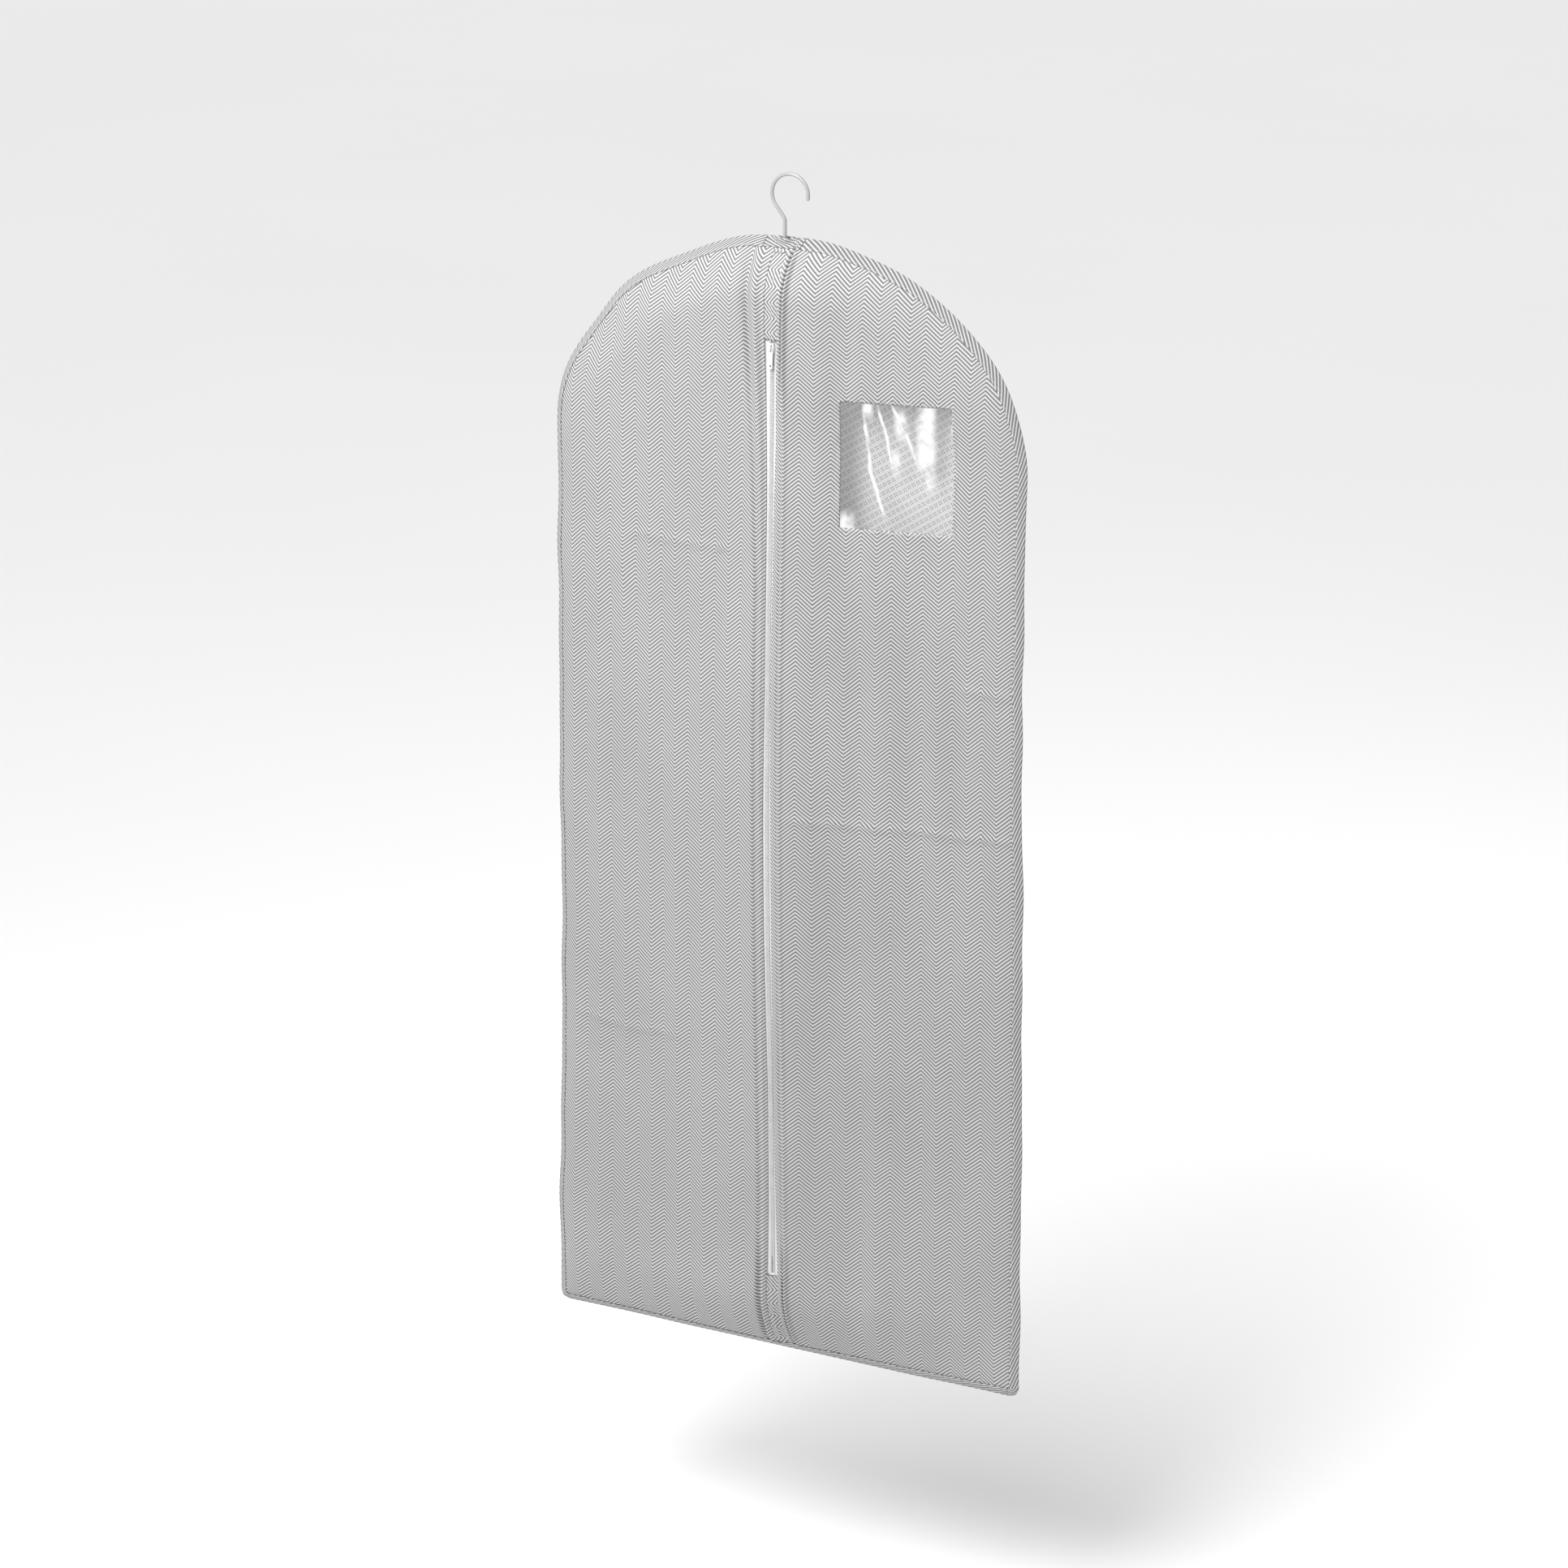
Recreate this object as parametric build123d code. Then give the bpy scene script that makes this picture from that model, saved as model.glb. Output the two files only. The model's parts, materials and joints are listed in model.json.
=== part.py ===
from build123d import *

import math
import os

# A zipped garment bag hanging on a shoulder hanger.
#
# Frame: +Z is up, the front of the bag faces -Y, X runs across the bag. The
# origin is the point inside the hook that rests on a rail, over the stem's
# axis. All sizes are in millimetres.
#
# Cloth is drawn as thin shells. The front and back panels are shallow dishes
# that meet at the seam plane, where a folded binding wraps their edges. Each
# side of the zip is free to fold outward along its own fold line: that strip
# of the front panel is the lapel, and it carries its zip tape and coil.

# ---------------------------------------------------------------- the bag
bag_width = 600.0
bag_height = 1370.0
arch_rise = 250.0          # from the top of the straight sides to the apex
shoulder_radius = 200.0    # of the arcs that join the sides to the crown
corner_radius = 12.0       # of the two bottom corners
cloth = 1.2                # drawn thickness of the printed cloth, across Y
front_depth = 40.0         # how far the front panel stands before the seam
back_depth = 12.0          # how far the back panel stands behind the seam
slope_margin = 70.0        # width of the sloping border of both dishes
seam_y = 6.0               # plane in which front and back are sewn together

# ------------------------------------------------------------ the binding
binding_reach = 9.0        # how far the binding laps onto the cloth
binding_fold = 1.5         # how far its fold stands outside the cloth
binding_leaf = 1.0         # cover of each leaf at its inner edge

# ----------------------------------------------- the opening for the hook
eye_width = 48.0           # length of the opening in the top seam
eye_front = 11.5           # how far the front lip bows before the seam
eye_back = 3.0             # how far the back lip bows behind the seam
eye_depth = 19.0           # height of both lips
lip_thickness = 1.4
lip_gap = 0.5              # between a lip's end and the binding

# ---------------------------------------------------------------- the zip
zip_drop = 112.0           # from the apex to the top end of the zip
zip_foot = 108.0           # from the zip's bottom end to the hem
zip_opening = 11.0         # width left between the two cloth edges
zip_fixed_end = 45.0       # length at each end that never folds open
tape_width = 12.5
tape_thickness = 0.8
tape_centre_gap = 2.4      # between the two tapes
coil_width = 2.6
coil_thickness = 1.6
coil_centre_gap = 1.2      # between the two coils, where the slider's post runs
stop_length = 2.6
end_allowance = 2.0        # from the zip's end to the stop

# ------------------------------------------------------------- the lapels
fold_line_x = 73.0         # distance of each fold line from the centre
lapel_gap = 0.6            # clearance round each lapel
pivot_setback = 0.3        # from a fold line to the edges beside it

# ------------------------------------------------- the tabs beyond the zip
tab_width = 24.0
tab_visible = 13.0         # what shows between the two cloth edges
tab_thickness = 0.8

# ------------------------------------------------------------- the window
window_width = 133.0
window_height = 147.0
window_left = 83.0         # from the bag's centre to the window's edge
window_drop = 178.0        # from the apex to the window's top edge
film_border = 7.0          # how far the film runs on behind the cloth
film_thickness = 0.4
stitch_width = 2.4
stitch_offset = 1.6        # from the window's edge to the row of stitches
stitch_height = 0.5

# ------------------------------------------------------------- the slider
slider_length = 12.0
slider_top_width = 8.6
slider_bottom_width = 6.8
plate_thickness = 1.2
slider_play = 0.4          # between a plate and what it slides over
post_width = 0.8
post_length = 3.0
flange_thickness = 0.7
flange_play = 0.35         # between a flange and the coil
bail_width = 1.8
bail_span = 7.0            # along the zip, outside
bail_leg = 1.0
bail_rise = 2.7            # above the front plate
pivot_drop = 5.0           # from the slider's top to the pull's pivot
bar_radius = 0.7
pull_length = 25.0
pull_width = 6.0
pull_end_width = 4.8
pull_thickness = 1.1
pull_hole_length = 4.6
pull_arm = 1.5
pull_grip_hole = 1.3       # radius of the hole at the pull's free end
pull_grip_setback = 4.0

# --------------------------------------------------------------- the hook
wire_radius = 2.2
loop_radius = 22.5         # of the wire's centre line
loop_shift = 6.4           # of the loop's centre from the stem
loop_height = 46.5         # of the loop's centre above the bag's apex
jog_angle = 37.6           # of the straight jog, from the vertical
stem_bend_radius = 9.0
tip_length = 4.0           # straight end past the loop
stem_below_neck = 3.0      # what shows under the hanger's neck
stop_radius = 4.2
stop_height = 2.6

# ------------------------------------------------------------- the hanger
neck_drop = 27.0           # from the bag's apex to the top of the neck
neck_half_width = 12.0
neck_height = 26.0
hanger_thickness = 10.0
shoulder_span = 404.0
shoulder_drop = 84.0       # from the neck's top to the tips' middle
tip_radius = 9.0
arm_depth = 21.0           # of the arms at mid length
bush_radius = 4.0
bush_flange_radius = 5.0
bush_flange = 1.2
spot_face_play = 1.0       # round the flange, where it seats under the neck
spot_face_depth = 3.0
running_clearance = 0.05
bar_half_length = 172.0
trouser_bar_radius = 4.5
bar_drop = 140.0           # from the neck's top to the bar's axis
lug_width = 13.0
lug_bite = 9.0             # how far the bar enters each lug

# ------------------------------------------------------- derived sizes
half_width = bag_width / 2
inner_wire_radius = loop_radius - wire_radius
apex_z = -(loop_height + math.sqrt(inner_wire_radius**2 - loop_shift**2))
bottom_z = apex_z - bag_height
spring_z = apex_z - arch_rise
shoulder_centre_x = half_width - shoulder_radius
crown_radius = (shoulder_centre_x**2 + arch_rise**2 - shoulder_radius**2) / (
    2 * (arch_rise - shoulder_radius)
)
crown_centre_z = apex_z - crown_radius

front_y = seam_y - front_depth              # outer face of the front panel
tape_front_y = front_y + cloth
tape_back_y = tape_front_y + tape_thickness
coil_front_y = tape_front_y - coil_thickness

zip_top_z = apex_z - zip_drop
zip_bottom_z = bottom_z + zip_foot
coil_top_z = zip_top_z - end_allowance
coil_bottom_z = zip_bottom_z + end_allowance + stop_length
slider_top_z = coil_top_z - stop_length - 1.0
zip_travel = slider_top_z - slider_length - coil_bottom_z - 1.0
lapel_top_z = zip_top_z - zip_fixed_end
lapel_bottom_z = zip_bottom_z + zip_fixed_end

window_right = window_left + window_width
window_top_z = apex_z - window_drop
window_bottom_z = window_top_z - window_height

plate_front_y = coil_front_y - slider_play - plate_thickness
pivot_y = plate_front_y - bar_radius - 0.2
pivot_z = slider_top_z - pivot_drop
bail_inner_y = pivot_y - bar_radius - 0.1
bail_outer_y = bail_inner_y - bail_leg

neck_z = apex_z - neck_drop
tip_z = neck_z - shoulder_drop
bar_z = neck_z - bar_drop
far = 4 * bag_height                        # beyond any part of the bag


# ------------------------------------------------------------ basic tools
def block(x0, x1, y0, y1, z0, z1):
    """A box between two corners."""
    size = (x1 - x0, y1 - y0, z1 - z0)
    centre = ((x0 + x1) / 2, (y0 + y1) / 2, (z0 + z1) / 2)
    return Pos(*centre) * Box(*size)


def both_sides(x0, x1, y0, y1, z0, z1):
    """Two boxes, mirror images of each other across X = 0."""
    return block(x0, x1, y0, y1, z0, z1), block(-x1, -x0, y0, y1, z0, z1)


def outline(inset, y):
    """The bag's outline, moved inward by inset, as a face at the given Y."""
    side = half_width - inset
    low = bottom_z + inset
    arc_r = shoulder_radius - inset
    crown_r = crown_radius - inset
    centre_gap = crown_radius - shoulder_radius
    ux = shoulder_centre_x / centre_gap
    uz = (spring_z - crown_centre_z) / centre_gap
    join = (shoulder_centre_x + arc_r * ux, spring_z + arc_r * uz)
    half_turn = math.atan2(uz, ux) / 2
    mid = (
        shoulder_centre_x + arc_r * math.cos(half_turn),
        spring_z + arc_r * math.sin(half_turn),
    )
    soft = corner_radius * (1 - math.sqrt(0.5))

    def at(x, z):
        return (x, y, z)

    edges = [
        Line(at(-side + corner_radius, low), at(side - corner_radius, low)),
        ThreePointArc(
            at(side - corner_radius, low),
            at(side - soft, low + soft),
            at(side, low + corner_radius),
        ),
        Line(at(side, low + corner_radius), at(side, spring_z)),
        ThreePointArc(at(side, spring_z), at(*mid), at(*join)),
        ThreePointArc(
            at(*join), at(0, crown_centre_z + crown_r), at(-join[0], join[1])
        ),
        ThreePointArc(at(-join[0], join[1]), at(-mid[0], mid[1]), at(-side, spring_z)),
        Line(at(-side, spring_z), at(-side, low + corner_radius)),
        ThreePointArc(
            at(-side, low + corner_radius),
            at(-side + soft, low + soft),
            at(-side + corner_radius, low),
        ),
    ]
    return make_face(Wire(edges))


def dish(depth):
    """The space between the seam plane and a panel's outer face."""
    return loft(
        [outline(0, seam_y), outline(slope_margin, seam_y + depth)], ruled=True
    )


front_dish = dish(-front_depth)
back_dish = dish(back_depth)


def front_layer(start, thickness):
    """A sheet that follows the front panel, start behind its outer face."""
    outer = Pos(0, start, 0) * front_dish
    inner = Pos(0, start + thickness, 0) * front_dish
    sheet = outer - inner
    return sheet & block(-far, far, -far, seam_y, -far, far)


# --------------------------------------------------------- the cloth body
def eye_notch():
    """The room that both panels leave for the lips round the hook."""
    half = eye_width / 2
    return block(-half, half, -far, far, apex_z - eye_depth, far)


def make_back_panel():
    sheet = back_dish - Pos(0, -cloth, 0) * back_dish
    return sheet - eye_notch()


def lapel_space(sign):
    """Where the front panel is cut away for a lapel and its fold line."""
    inner, outer = zip_opening / 2, fold_line_x + pivot_setback
    x0, x1 = (inner, outer) if sign > 0 else (-outer, -inner)
    return block(
        x0, x1, -far, far, lapel_bottom_z - lapel_gap, lapel_top_z + lapel_gap
    )


def make_front_panel(sign):
    """The part of one front panel that stays in place."""
    edge, seam = zip_opening / 2, tab_visible / 2
    x0, x1 = (edge, far) if sign > 0 else (-far, -edge)
    s0, s1 = (0, seam) if sign > 0 else (-seam, 0)
    panel = front_layer(0, cloth) & block(x0, x1, -far, far, -far, far)
    panel -= block(s0, s1, -far, far, zip_top_z, far)
    panel -= block(s0, s1, -far, far, -far, zip_bottom_z)
    panel -= lapel_space(sign)
    panel -= eye_notch()
    if sign > 0:
        panel -= window_frame(0) & block(-far, far, -far, 0, -far, far)
    return panel


def make_lapel(sign):
    """The strip of front panel beside the zip that folds outward."""
    x0, x1 = zip_opening / 2, fold_line_x - pivot_setback
    if sign < 0:
        x0, x1 = -x1, -x0
    return block(x0, x1, front_y, front_y + cloth, lapel_bottom_z, lapel_top_z)


def make_tab(z0, z1):
    """A strip of cloth behind the panels, beyond one end of the zip."""
    sheet = front_layer(cloth, tab_thickness)
    half = tab_width / 2
    return sheet & block(-half, half, -far, far, z0, z1)


# ------------------------------------------------------------ the binding
def binding_ring():
    """The folded tape round the whole seam, before it is cut in lengths."""
    slope_front = front_depth / slope_margin
    slope_back = back_depth / slope_margin
    y0 = seam_y - binding_reach * slope_front - binding_leaf
    y1 = seam_y + binding_reach * slope_back + binding_leaf
    ring = outline(-binding_fold, y0) - outline(binding_reach, y0)
    solid = extrude(ring, amount=y1 - y0, dir=(0, 1, 0))
    return solid - front_dish - back_dish


def make_bindings():
    """Left and right lengths from the hook's opening, and the hem."""
    ring = binding_ring()
    half = eye_width / 2 + lip_gap
    corner = half_width - corner_radius
    hem_top = bottom_z + binding_reach
    left = ring & block(-far, -half, -far, far, -far, far)
    left -= block(-corner, far, -far, far, -far, hem_top)
    right = ring & block(half, far, -far, far, -far, far)
    right -= block(-far, corner, -far, far, -far, hem_top)
    hem = ring & block(-corner, corner, -far, far, -far, hem_top)
    return left, right, hem


def make_lip(bow, y_side):
    """One bowed lip of the opening: bow is how far it stands off the seam."""
    half = eye_width / 2
    direction = -1 if y_side < 0 else 1
    crest = seam_y + direction * bow
    inner_crest = crest - direction * lip_thickness
    foot = seam_y + direction * lip_thickness
    z0 = apex_z - eye_depth
    outer = ThreePointArc((-half, foot, z0), (0, crest, z0), (half, foot, z0))
    inner = ThreePointArc((half, seam_y, z0), (0, inner_crest, z0), (-half, seam_y, z0))
    ends = [
        Line((half, foot, z0), (half, seam_y, z0)),
        Line((-half, seam_y, z0), (-half, foot, z0)),
    ]
    face = make_face(Wire([outer, ends[0], inner, ends[1]]))
    return extrude(face, amount=eye_depth, dir=(0, 0, 1))


# ------------------------------------------------------------- the window
def window_frame(grow):
    """A column along Y with the window's outline, larger by grow."""
    return block(
        window_left - grow,
        window_right + grow,
        -far,
        far,
        window_bottom_z - grow,
        window_top_z + grow,
    )


def make_window_film():
    """The clear sheet behind the opening, lapped by the cloth all round."""
    return front_layer(cloth, film_thickness) & window_frame(film_border)


def make_window_stitching():
    """The row of stitches round the opening, as one raised band."""
    band = window_frame(stitch_offset + stitch_width) - window_frame(stitch_offset)
    return front_layer(-stitch_height, stitch_height) & band


# ---------------------------------------------------------------- the zip
def tape(z0, z1):
    x0 = tape_centre_gap / 2
    return both_sides(x0, x0 + tape_width, tape_front_y, tape_back_y, z0, z1)


def coil(z0, z1):
    x0 = coil_centre_gap / 2
    return both_sides(x0, x0 + coil_width, coil_front_y, tape_front_y, z0, z1)


def make_top_stops():
    x0 = coil_centre_gap / 2
    return Compound(
        both_sides(
            x0,
            x0 + coil_width,
            coil_front_y,
            tape_front_y,
            coil_top_z - stop_length,
            coil_top_z,
        )
    )


def make_bottom_stop():
    reach = coil_centre_gap / 2 + coil_width
    return block(
        -reach,
        reach,
        coil_front_y,
        tape_front_y,
        coil_bottom_z - stop_length,
        coil_bottom_z,
    )


def slider_plan(y, amount):
    """A slider plate: wide where the coils part, narrow where they join."""
    top, low = slider_top_width / 2, slider_bottom_width / 2
    z0, z1 = slider_top_z - slider_length, slider_top_z
    shoulder = slider_top_z - 0.45 * slider_length
    edges = Polyline(
        (-low, y, z0),
        (low, y, z0),
        (top, y, shoulder),
        (top - 1.2, y, z1),
        (-top + 1.2, y, z1),
        (-top, y, shoulder),
        close=True,
    )
    plate = extrude(make_face(edges), amount=amount, dir=(0, 1, 0))
    upright = plate.edges().filter_by(Axis.Y)
    return fillet(upright, radius=0.6)


def make_slider():
    """Two plates joined by a post, with flanges that hold the coils in."""
    front_plate = slider_plan(plate_front_y, plate_thickness)
    back_y = tape_back_y + slider_play
    back_plate = slider_plan(back_y, plate_thickness)
    plate_back_y = plate_front_y + plate_thickness
    post = block(
        -post_width / 2,
        post_width / 2,
        plate_back_y,
        back_y,
        slider_top_z - 0.8 - post_length,
        slider_top_z - 0.8,
    )
    reach = coil_centre_gap / 2 + coil_width + flange_play
    z0, z1 = slider_top_z - slider_length + 0.8, slider_top_z - 5.0
    flanges = both_sides(
        reach,
        reach + flange_thickness,
        plate_back_y,
        tape_front_y - flange_play,
        z0,
        z1,
    )
    body = front_plate + back_plate + post
    for flange in flanges:
        body += flange & slider_plan(plate_front_y, far)
    front_edges = body.faces().sort_by(Axis.Y)[0].edges()
    return fillet(front_edges, radius=0.35)


def make_bail():
    """The small bridge on the slider that the pull hangs in."""
    half, z_mid = bail_width / 2, pivot_z
    outer = block(
        -half,
        half,
        bail_outer_y,
        plate_front_y,
        z_mid - bail_span / 2,
        z_mid + bail_span / 2,
    )
    inner = block(
        -far,
        far,
        bail_inner_y,
        far,
        z_mid - bail_span / 2 + bail_leg,
        z_mid + bail_span / 2 - bail_leg,
    )
    corners = outer.edges().filter_by(Axis.X).group_by(Axis.Y)[0]
    return fillet(corners, radius=0.8) - inner


def make_pull():
    """A flat tab, a round bar at its top and a grip hole at its end."""
    y0, y1 = pivot_y - pull_thickness / 2, pivot_y + pull_thickness / 2
    top, low = pull_width / 2, pull_end_width / 2
    z_top, z_low = pivot_z - 0.2, pivot_z - pull_length
    edges = Polyline(
        (-top, y0, z_top),
        (top, y0, z_top),
        (top, y0, z_top - pull_hole_length - pull_arm),
        (low, y0, z_low),
        (-low, y0, z_low),
        (-top, y0, z_top - pull_hole_length - pull_arm),
        close=True,
    )
    tab = extrude(make_face(edges), amount=y1 - y0, dir=(0, 1, 0))
    tab = fillet(tab.edges().filter_by(Axis.Y).group_by(Axis.Z)[0], radius=1.6)
    slot_half = top - pull_arm
    tab -= block(
        -slot_half, slot_half, -far, far, z_top - pull_hole_length, z_top + 1
    )
    grip = Rot(90, 0, 0) * Cylinder(pull_grip_hole, far)
    tab -= Pos(0, pivot_y, z_low + pull_grip_setback) * grip
    bar = Pos(0, pivot_y, pivot_z) * Rot(0, 90, 0) * Cylinder(bar_radius, pull_width)
    return tab + bar


# --------------------------------------------------------------- the hook
def make_hook():
    """Round wire: stem, straight jog, loop and a short straight tip."""
    lean = math.radians(jog_angle)
    loop_centre = Vector(loop_shift, 0, apex_z + loop_height)
    along = Vector(-math.sin(lean), 0, math.cos(lean))
    outward = Vector(-math.cos(lean), 0, -math.sin(lean))
    tangent_point = loop_centre + outward * loop_radius
    corner = tangent_point - along * (tangent_point.X / along.X)
    setback = stem_bend_radius * math.tan(lean / 2)
    stem_low = Vector(0, 0, neck_z - neck_height - stop_height - stem_below_neck)
    stem_high = corner - Vector(0, 0, setback)
    jog_low = corner + along * setback
    bend_centre = stem_high + Vector(-stem_bend_radius, 0, 0)
    half_lean = lean / 2
    bend_mid = bend_centre + Vector(
        stem_bend_radius * math.cos(half_lean),
        0,
        stem_bend_radius * math.sin(half_lean),
    )
    crown = loop_centre + Vector(0, 0, loop_radius)
    loop_end = loop_centre + Vector(loop_radius, 0, 0)
    tip = loop_end - Vector(0, 0, tip_length)
    path = Wire(
        [
            Line(stem_low, stem_high),
            ThreePointArc(stem_high, bend_mid, jog_low),
            Line(jog_low, tangent_point),
            ThreePointArc(tangent_point, crown, loop_end),
            Line(loop_end, tip),
        ]
    )
    section = Plane(origin=stem_low, z_dir=(0, 0, 1)) * Circle(wire_radius)
    wire = sweep(section, path=path)
    return wire + Pos(tip.X, tip.Y, tip.Z) * Sphere(wire_radius)


def make_hook_stop():
    """The riveted head that keeps the stem in the neck."""
    top = neck_z - neck_height - bush_flange - 0.3
    head = Pos(0, 0, top - stop_height / 2) * Cylinder(stop_radius, stop_height)
    head = fillet(head.edges().group_by(Axis.Z)[0], radius=0.9)
    return head - Cylinder(wire_radius, far)


# ------------------------------------------------------------- the hanger
def arm_face(sign):
    """One arm and half the neck, seen from the front."""
    tip_x = sign * (shoulder_span / 2 - tip_radius)
    neck_low = neck_z - neck_height
    start = (sign * neck_half_width * 0.7, 0, neck_z)
    waist = (sign * neck_half_width * 1.5, 0, neck_z - neck_height * 0.55)
    shoulder = (sign * shoulder_span * 0.26, 0, neck_z - shoulder_drop * 0.38)
    tip_top = (tip_x + sign * 3.0, 0, tip_z + tip_radius)
    tip_end = (tip_x + sign * tip_radius, 0, tip_z - 2.0)
    tip_low = (tip_x - sign * 2.0, 0, tip_z - tip_radius)
    under = (sign * shoulder_span * 0.24, 0, shoulder[2] - arm_depth)
    top_line = Spline(
        [start, waist, shoulder, tip_top],
        tangents=[(sign * 0.1, 0, -1), (sign * 0.80, 0, -0.60)],
    )
    low_line = Spline(
        [tip_low, under, (0, 0, neck_low)],
        tangents=[(-sign * 0.78, 0, 0.62), (-sign, 0, 0)],
    )
    edges = [
        Line((0, 0, neck_z), start),
        top_line,
        ThreePointArc(tip_top, tip_end, tip_low),
        low_line,
        Line((0, 0, neck_low), (0, 0, neck_z)),
    ]
    return make_face(Wire(edges))


def make_hanger():
    """Both arms, the neck with its bore, and a lug under each arm."""
    half = hanger_thickness / 2
    body = None
    for sign in (-1, 1):
        arm = extrude(arm_face(sign), amount=half, dir=(0, 1, 0), both=True)
        body = arm if body is None else body + arm
    for sign in (-1, 1):
        centre = sign * (bar_half_length - lug_bite / 2)
        lug = block(
            centre - lug_width / 2,
            centre + lug_width / 2,
            -half,
            half,
            bar_z - trouser_bar_radius - 4.0,
            tip_z + 6.0,
        )
        low_corners = lug.edges().filter_by(Axis.Y).group_by(Axis.Z)[0]
        body += fillet(low_corners, radius=5.5)
    bar_seat = Rot(0, 90, 0) * Cylinder(trouser_bar_radius, 2 * bar_half_length)
    body -= Pos(0, 0, bar_z) * bar_seat
    spot_face = Pos(0, 0, neck_z - neck_height - spot_face_depth / 2) * Cylinder(
        bush_flange_radius + spot_face_play, spot_face_depth
    )
    bore = Cylinder(bush_radius, far)
    return body - spot_face - bore


def make_bush():
    """The sleeve that the stem turns in, with a flange under the neck."""
    sleeve_mid = neck_z - neck_height / 2
    sleeve = Pos(0, 0, sleeve_mid) * Cylinder(bush_radius, neck_height)
    flange_mid = neck_z - neck_height - bush_flange / 2
    flange = Pos(0, 0, flange_mid) * Cylinder(bush_flange_radius, bush_flange)
    return sleeve + flange - Cylinder(wire_radius + running_clearance, far)


def make_trouser_bar():
    bar = Rot(0, 90, 0) * Cylinder(trouser_bar_radius, 2 * bar_half_length)
    return Pos(0, 0, bar_z) * bar


# ---------------------------------------------------------------- writing
def all_parts():
    """Every sub-part by name."""
    left_binding, right_binding, hem = make_bindings()
    tape_right, tape_left = tape(lapel_bottom_z, lapel_top_z)
    coil_right, coil_left = coil(lapel_bottom_z, lapel_top_z)
    low_end = lapel_bottom_z - lapel_gap
    high_end = lapel_top_z + lapel_gap
    parts = {
        "hook": make_hook(),
        "hook_stop": make_hook_stop(),
        "hanger_arms": make_hanger(),
        "hanger_bush": make_bush(),
        "trouser_bar": make_trouser_bar(),
        "back_panel": make_back_panel(),
        "front_left_panel": make_front_panel(-1),
        "front_right_panel": make_front_panel(1),
        "left_lapel": make_lapel(-1),
        "right_lapel": make_lapel(1),
        "top_tab": make_tab(zip_top_z, apex_z - eye_depth),
        "bottom_tab": make_tab(bottom_z + binding_reach, zip_bottom_z),
        "edge_binding_left": left_binding,
        "edge_binding_right": right_binding,
        "hem_binding": hem,
        "eye_front_lip": make_lip(eye_front, -1),
        "eye_back_lip": make_lip(eye_back, 1),
        "window_film": make_window_film(),
        "window_stitching": make_window_stitching(),
        "zip_tape_left": tape_left,
        "zip_tape_right": tape_right,
        "zip_coil_left": coil_left,
        "zip_coil_right": coil_right,
        "zip_tape_top_ends": Compound(tape(high_end, zip_top_z)),
        "zip_tape_bottom_ends": Compound(tape(zip_bottom_z, low_end)),
        "zip_coil_top_ends": Compound(coil(high_end, coil_top_z - stop_length)),
        "zip_coil_bottom_ends": Compound(coil(coil_bottom_z, low_end)),
        "zip_top_stops": make_top_stops(),
        "zip_bottom_stop": make_bottom_stop(),
        "zip_slider": make_slider(),
        "slider_bail": make_bail(),
        "zip_pull": make_pull(),
    }
    return parts


def main():
    os.makedirs("parts", exist_ok=True)
    for name, shape in all_parts().items():
        export_step(shape, f"parts/{name}.step")
    print("apex z", round(apex_z, 3), "seam y", seam_y, "front y", front_y)
    print("lapel pivot", fold_line_x, front_y, "zip travel", round(zip_travel, 3))
    print("pull pivot", round(pivot_y, 3), round(pivot_z, 3))
    print("bar z", round(bar_z, 3), "neck z", round(neck_z, 3))


main()
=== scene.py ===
import json
import math

import bmesh
import bpy
import numpy as np
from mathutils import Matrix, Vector


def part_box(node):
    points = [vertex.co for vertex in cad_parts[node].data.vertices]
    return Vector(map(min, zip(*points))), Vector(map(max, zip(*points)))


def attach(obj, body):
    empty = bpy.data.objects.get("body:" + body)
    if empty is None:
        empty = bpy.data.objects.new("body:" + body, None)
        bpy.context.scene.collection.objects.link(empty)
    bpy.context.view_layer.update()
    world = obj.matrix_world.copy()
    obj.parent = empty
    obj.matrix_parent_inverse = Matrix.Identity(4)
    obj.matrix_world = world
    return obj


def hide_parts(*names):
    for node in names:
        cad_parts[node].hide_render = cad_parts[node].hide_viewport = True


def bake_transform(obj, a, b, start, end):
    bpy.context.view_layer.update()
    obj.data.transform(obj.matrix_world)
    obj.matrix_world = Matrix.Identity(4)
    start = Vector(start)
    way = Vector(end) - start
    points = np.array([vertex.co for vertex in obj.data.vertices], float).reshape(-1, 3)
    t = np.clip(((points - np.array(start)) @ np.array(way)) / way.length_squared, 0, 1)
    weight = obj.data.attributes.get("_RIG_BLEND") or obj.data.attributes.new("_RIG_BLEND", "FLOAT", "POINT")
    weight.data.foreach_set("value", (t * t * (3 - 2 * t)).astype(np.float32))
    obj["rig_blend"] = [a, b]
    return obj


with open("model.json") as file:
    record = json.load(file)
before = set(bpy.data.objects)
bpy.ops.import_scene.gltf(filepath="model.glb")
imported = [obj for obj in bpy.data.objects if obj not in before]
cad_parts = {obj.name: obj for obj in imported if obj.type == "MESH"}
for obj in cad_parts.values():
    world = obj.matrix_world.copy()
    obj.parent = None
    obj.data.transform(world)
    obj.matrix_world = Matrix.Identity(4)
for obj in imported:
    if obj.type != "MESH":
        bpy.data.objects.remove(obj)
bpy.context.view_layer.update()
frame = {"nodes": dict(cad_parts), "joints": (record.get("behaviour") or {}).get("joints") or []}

# The looks of a zipped garment bag that hangs on its hanger. All sizes are in
# metres. The front faces -Y, Z is up, and X runs across the bag.
#
# Cloth is first laid out on the smooth surfaces that front_surface() and
# back_surface() give, with its edges on the bag's true outline. Then settle()
# lets every sewn piece sag and wander together, so seams stay closed.


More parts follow.
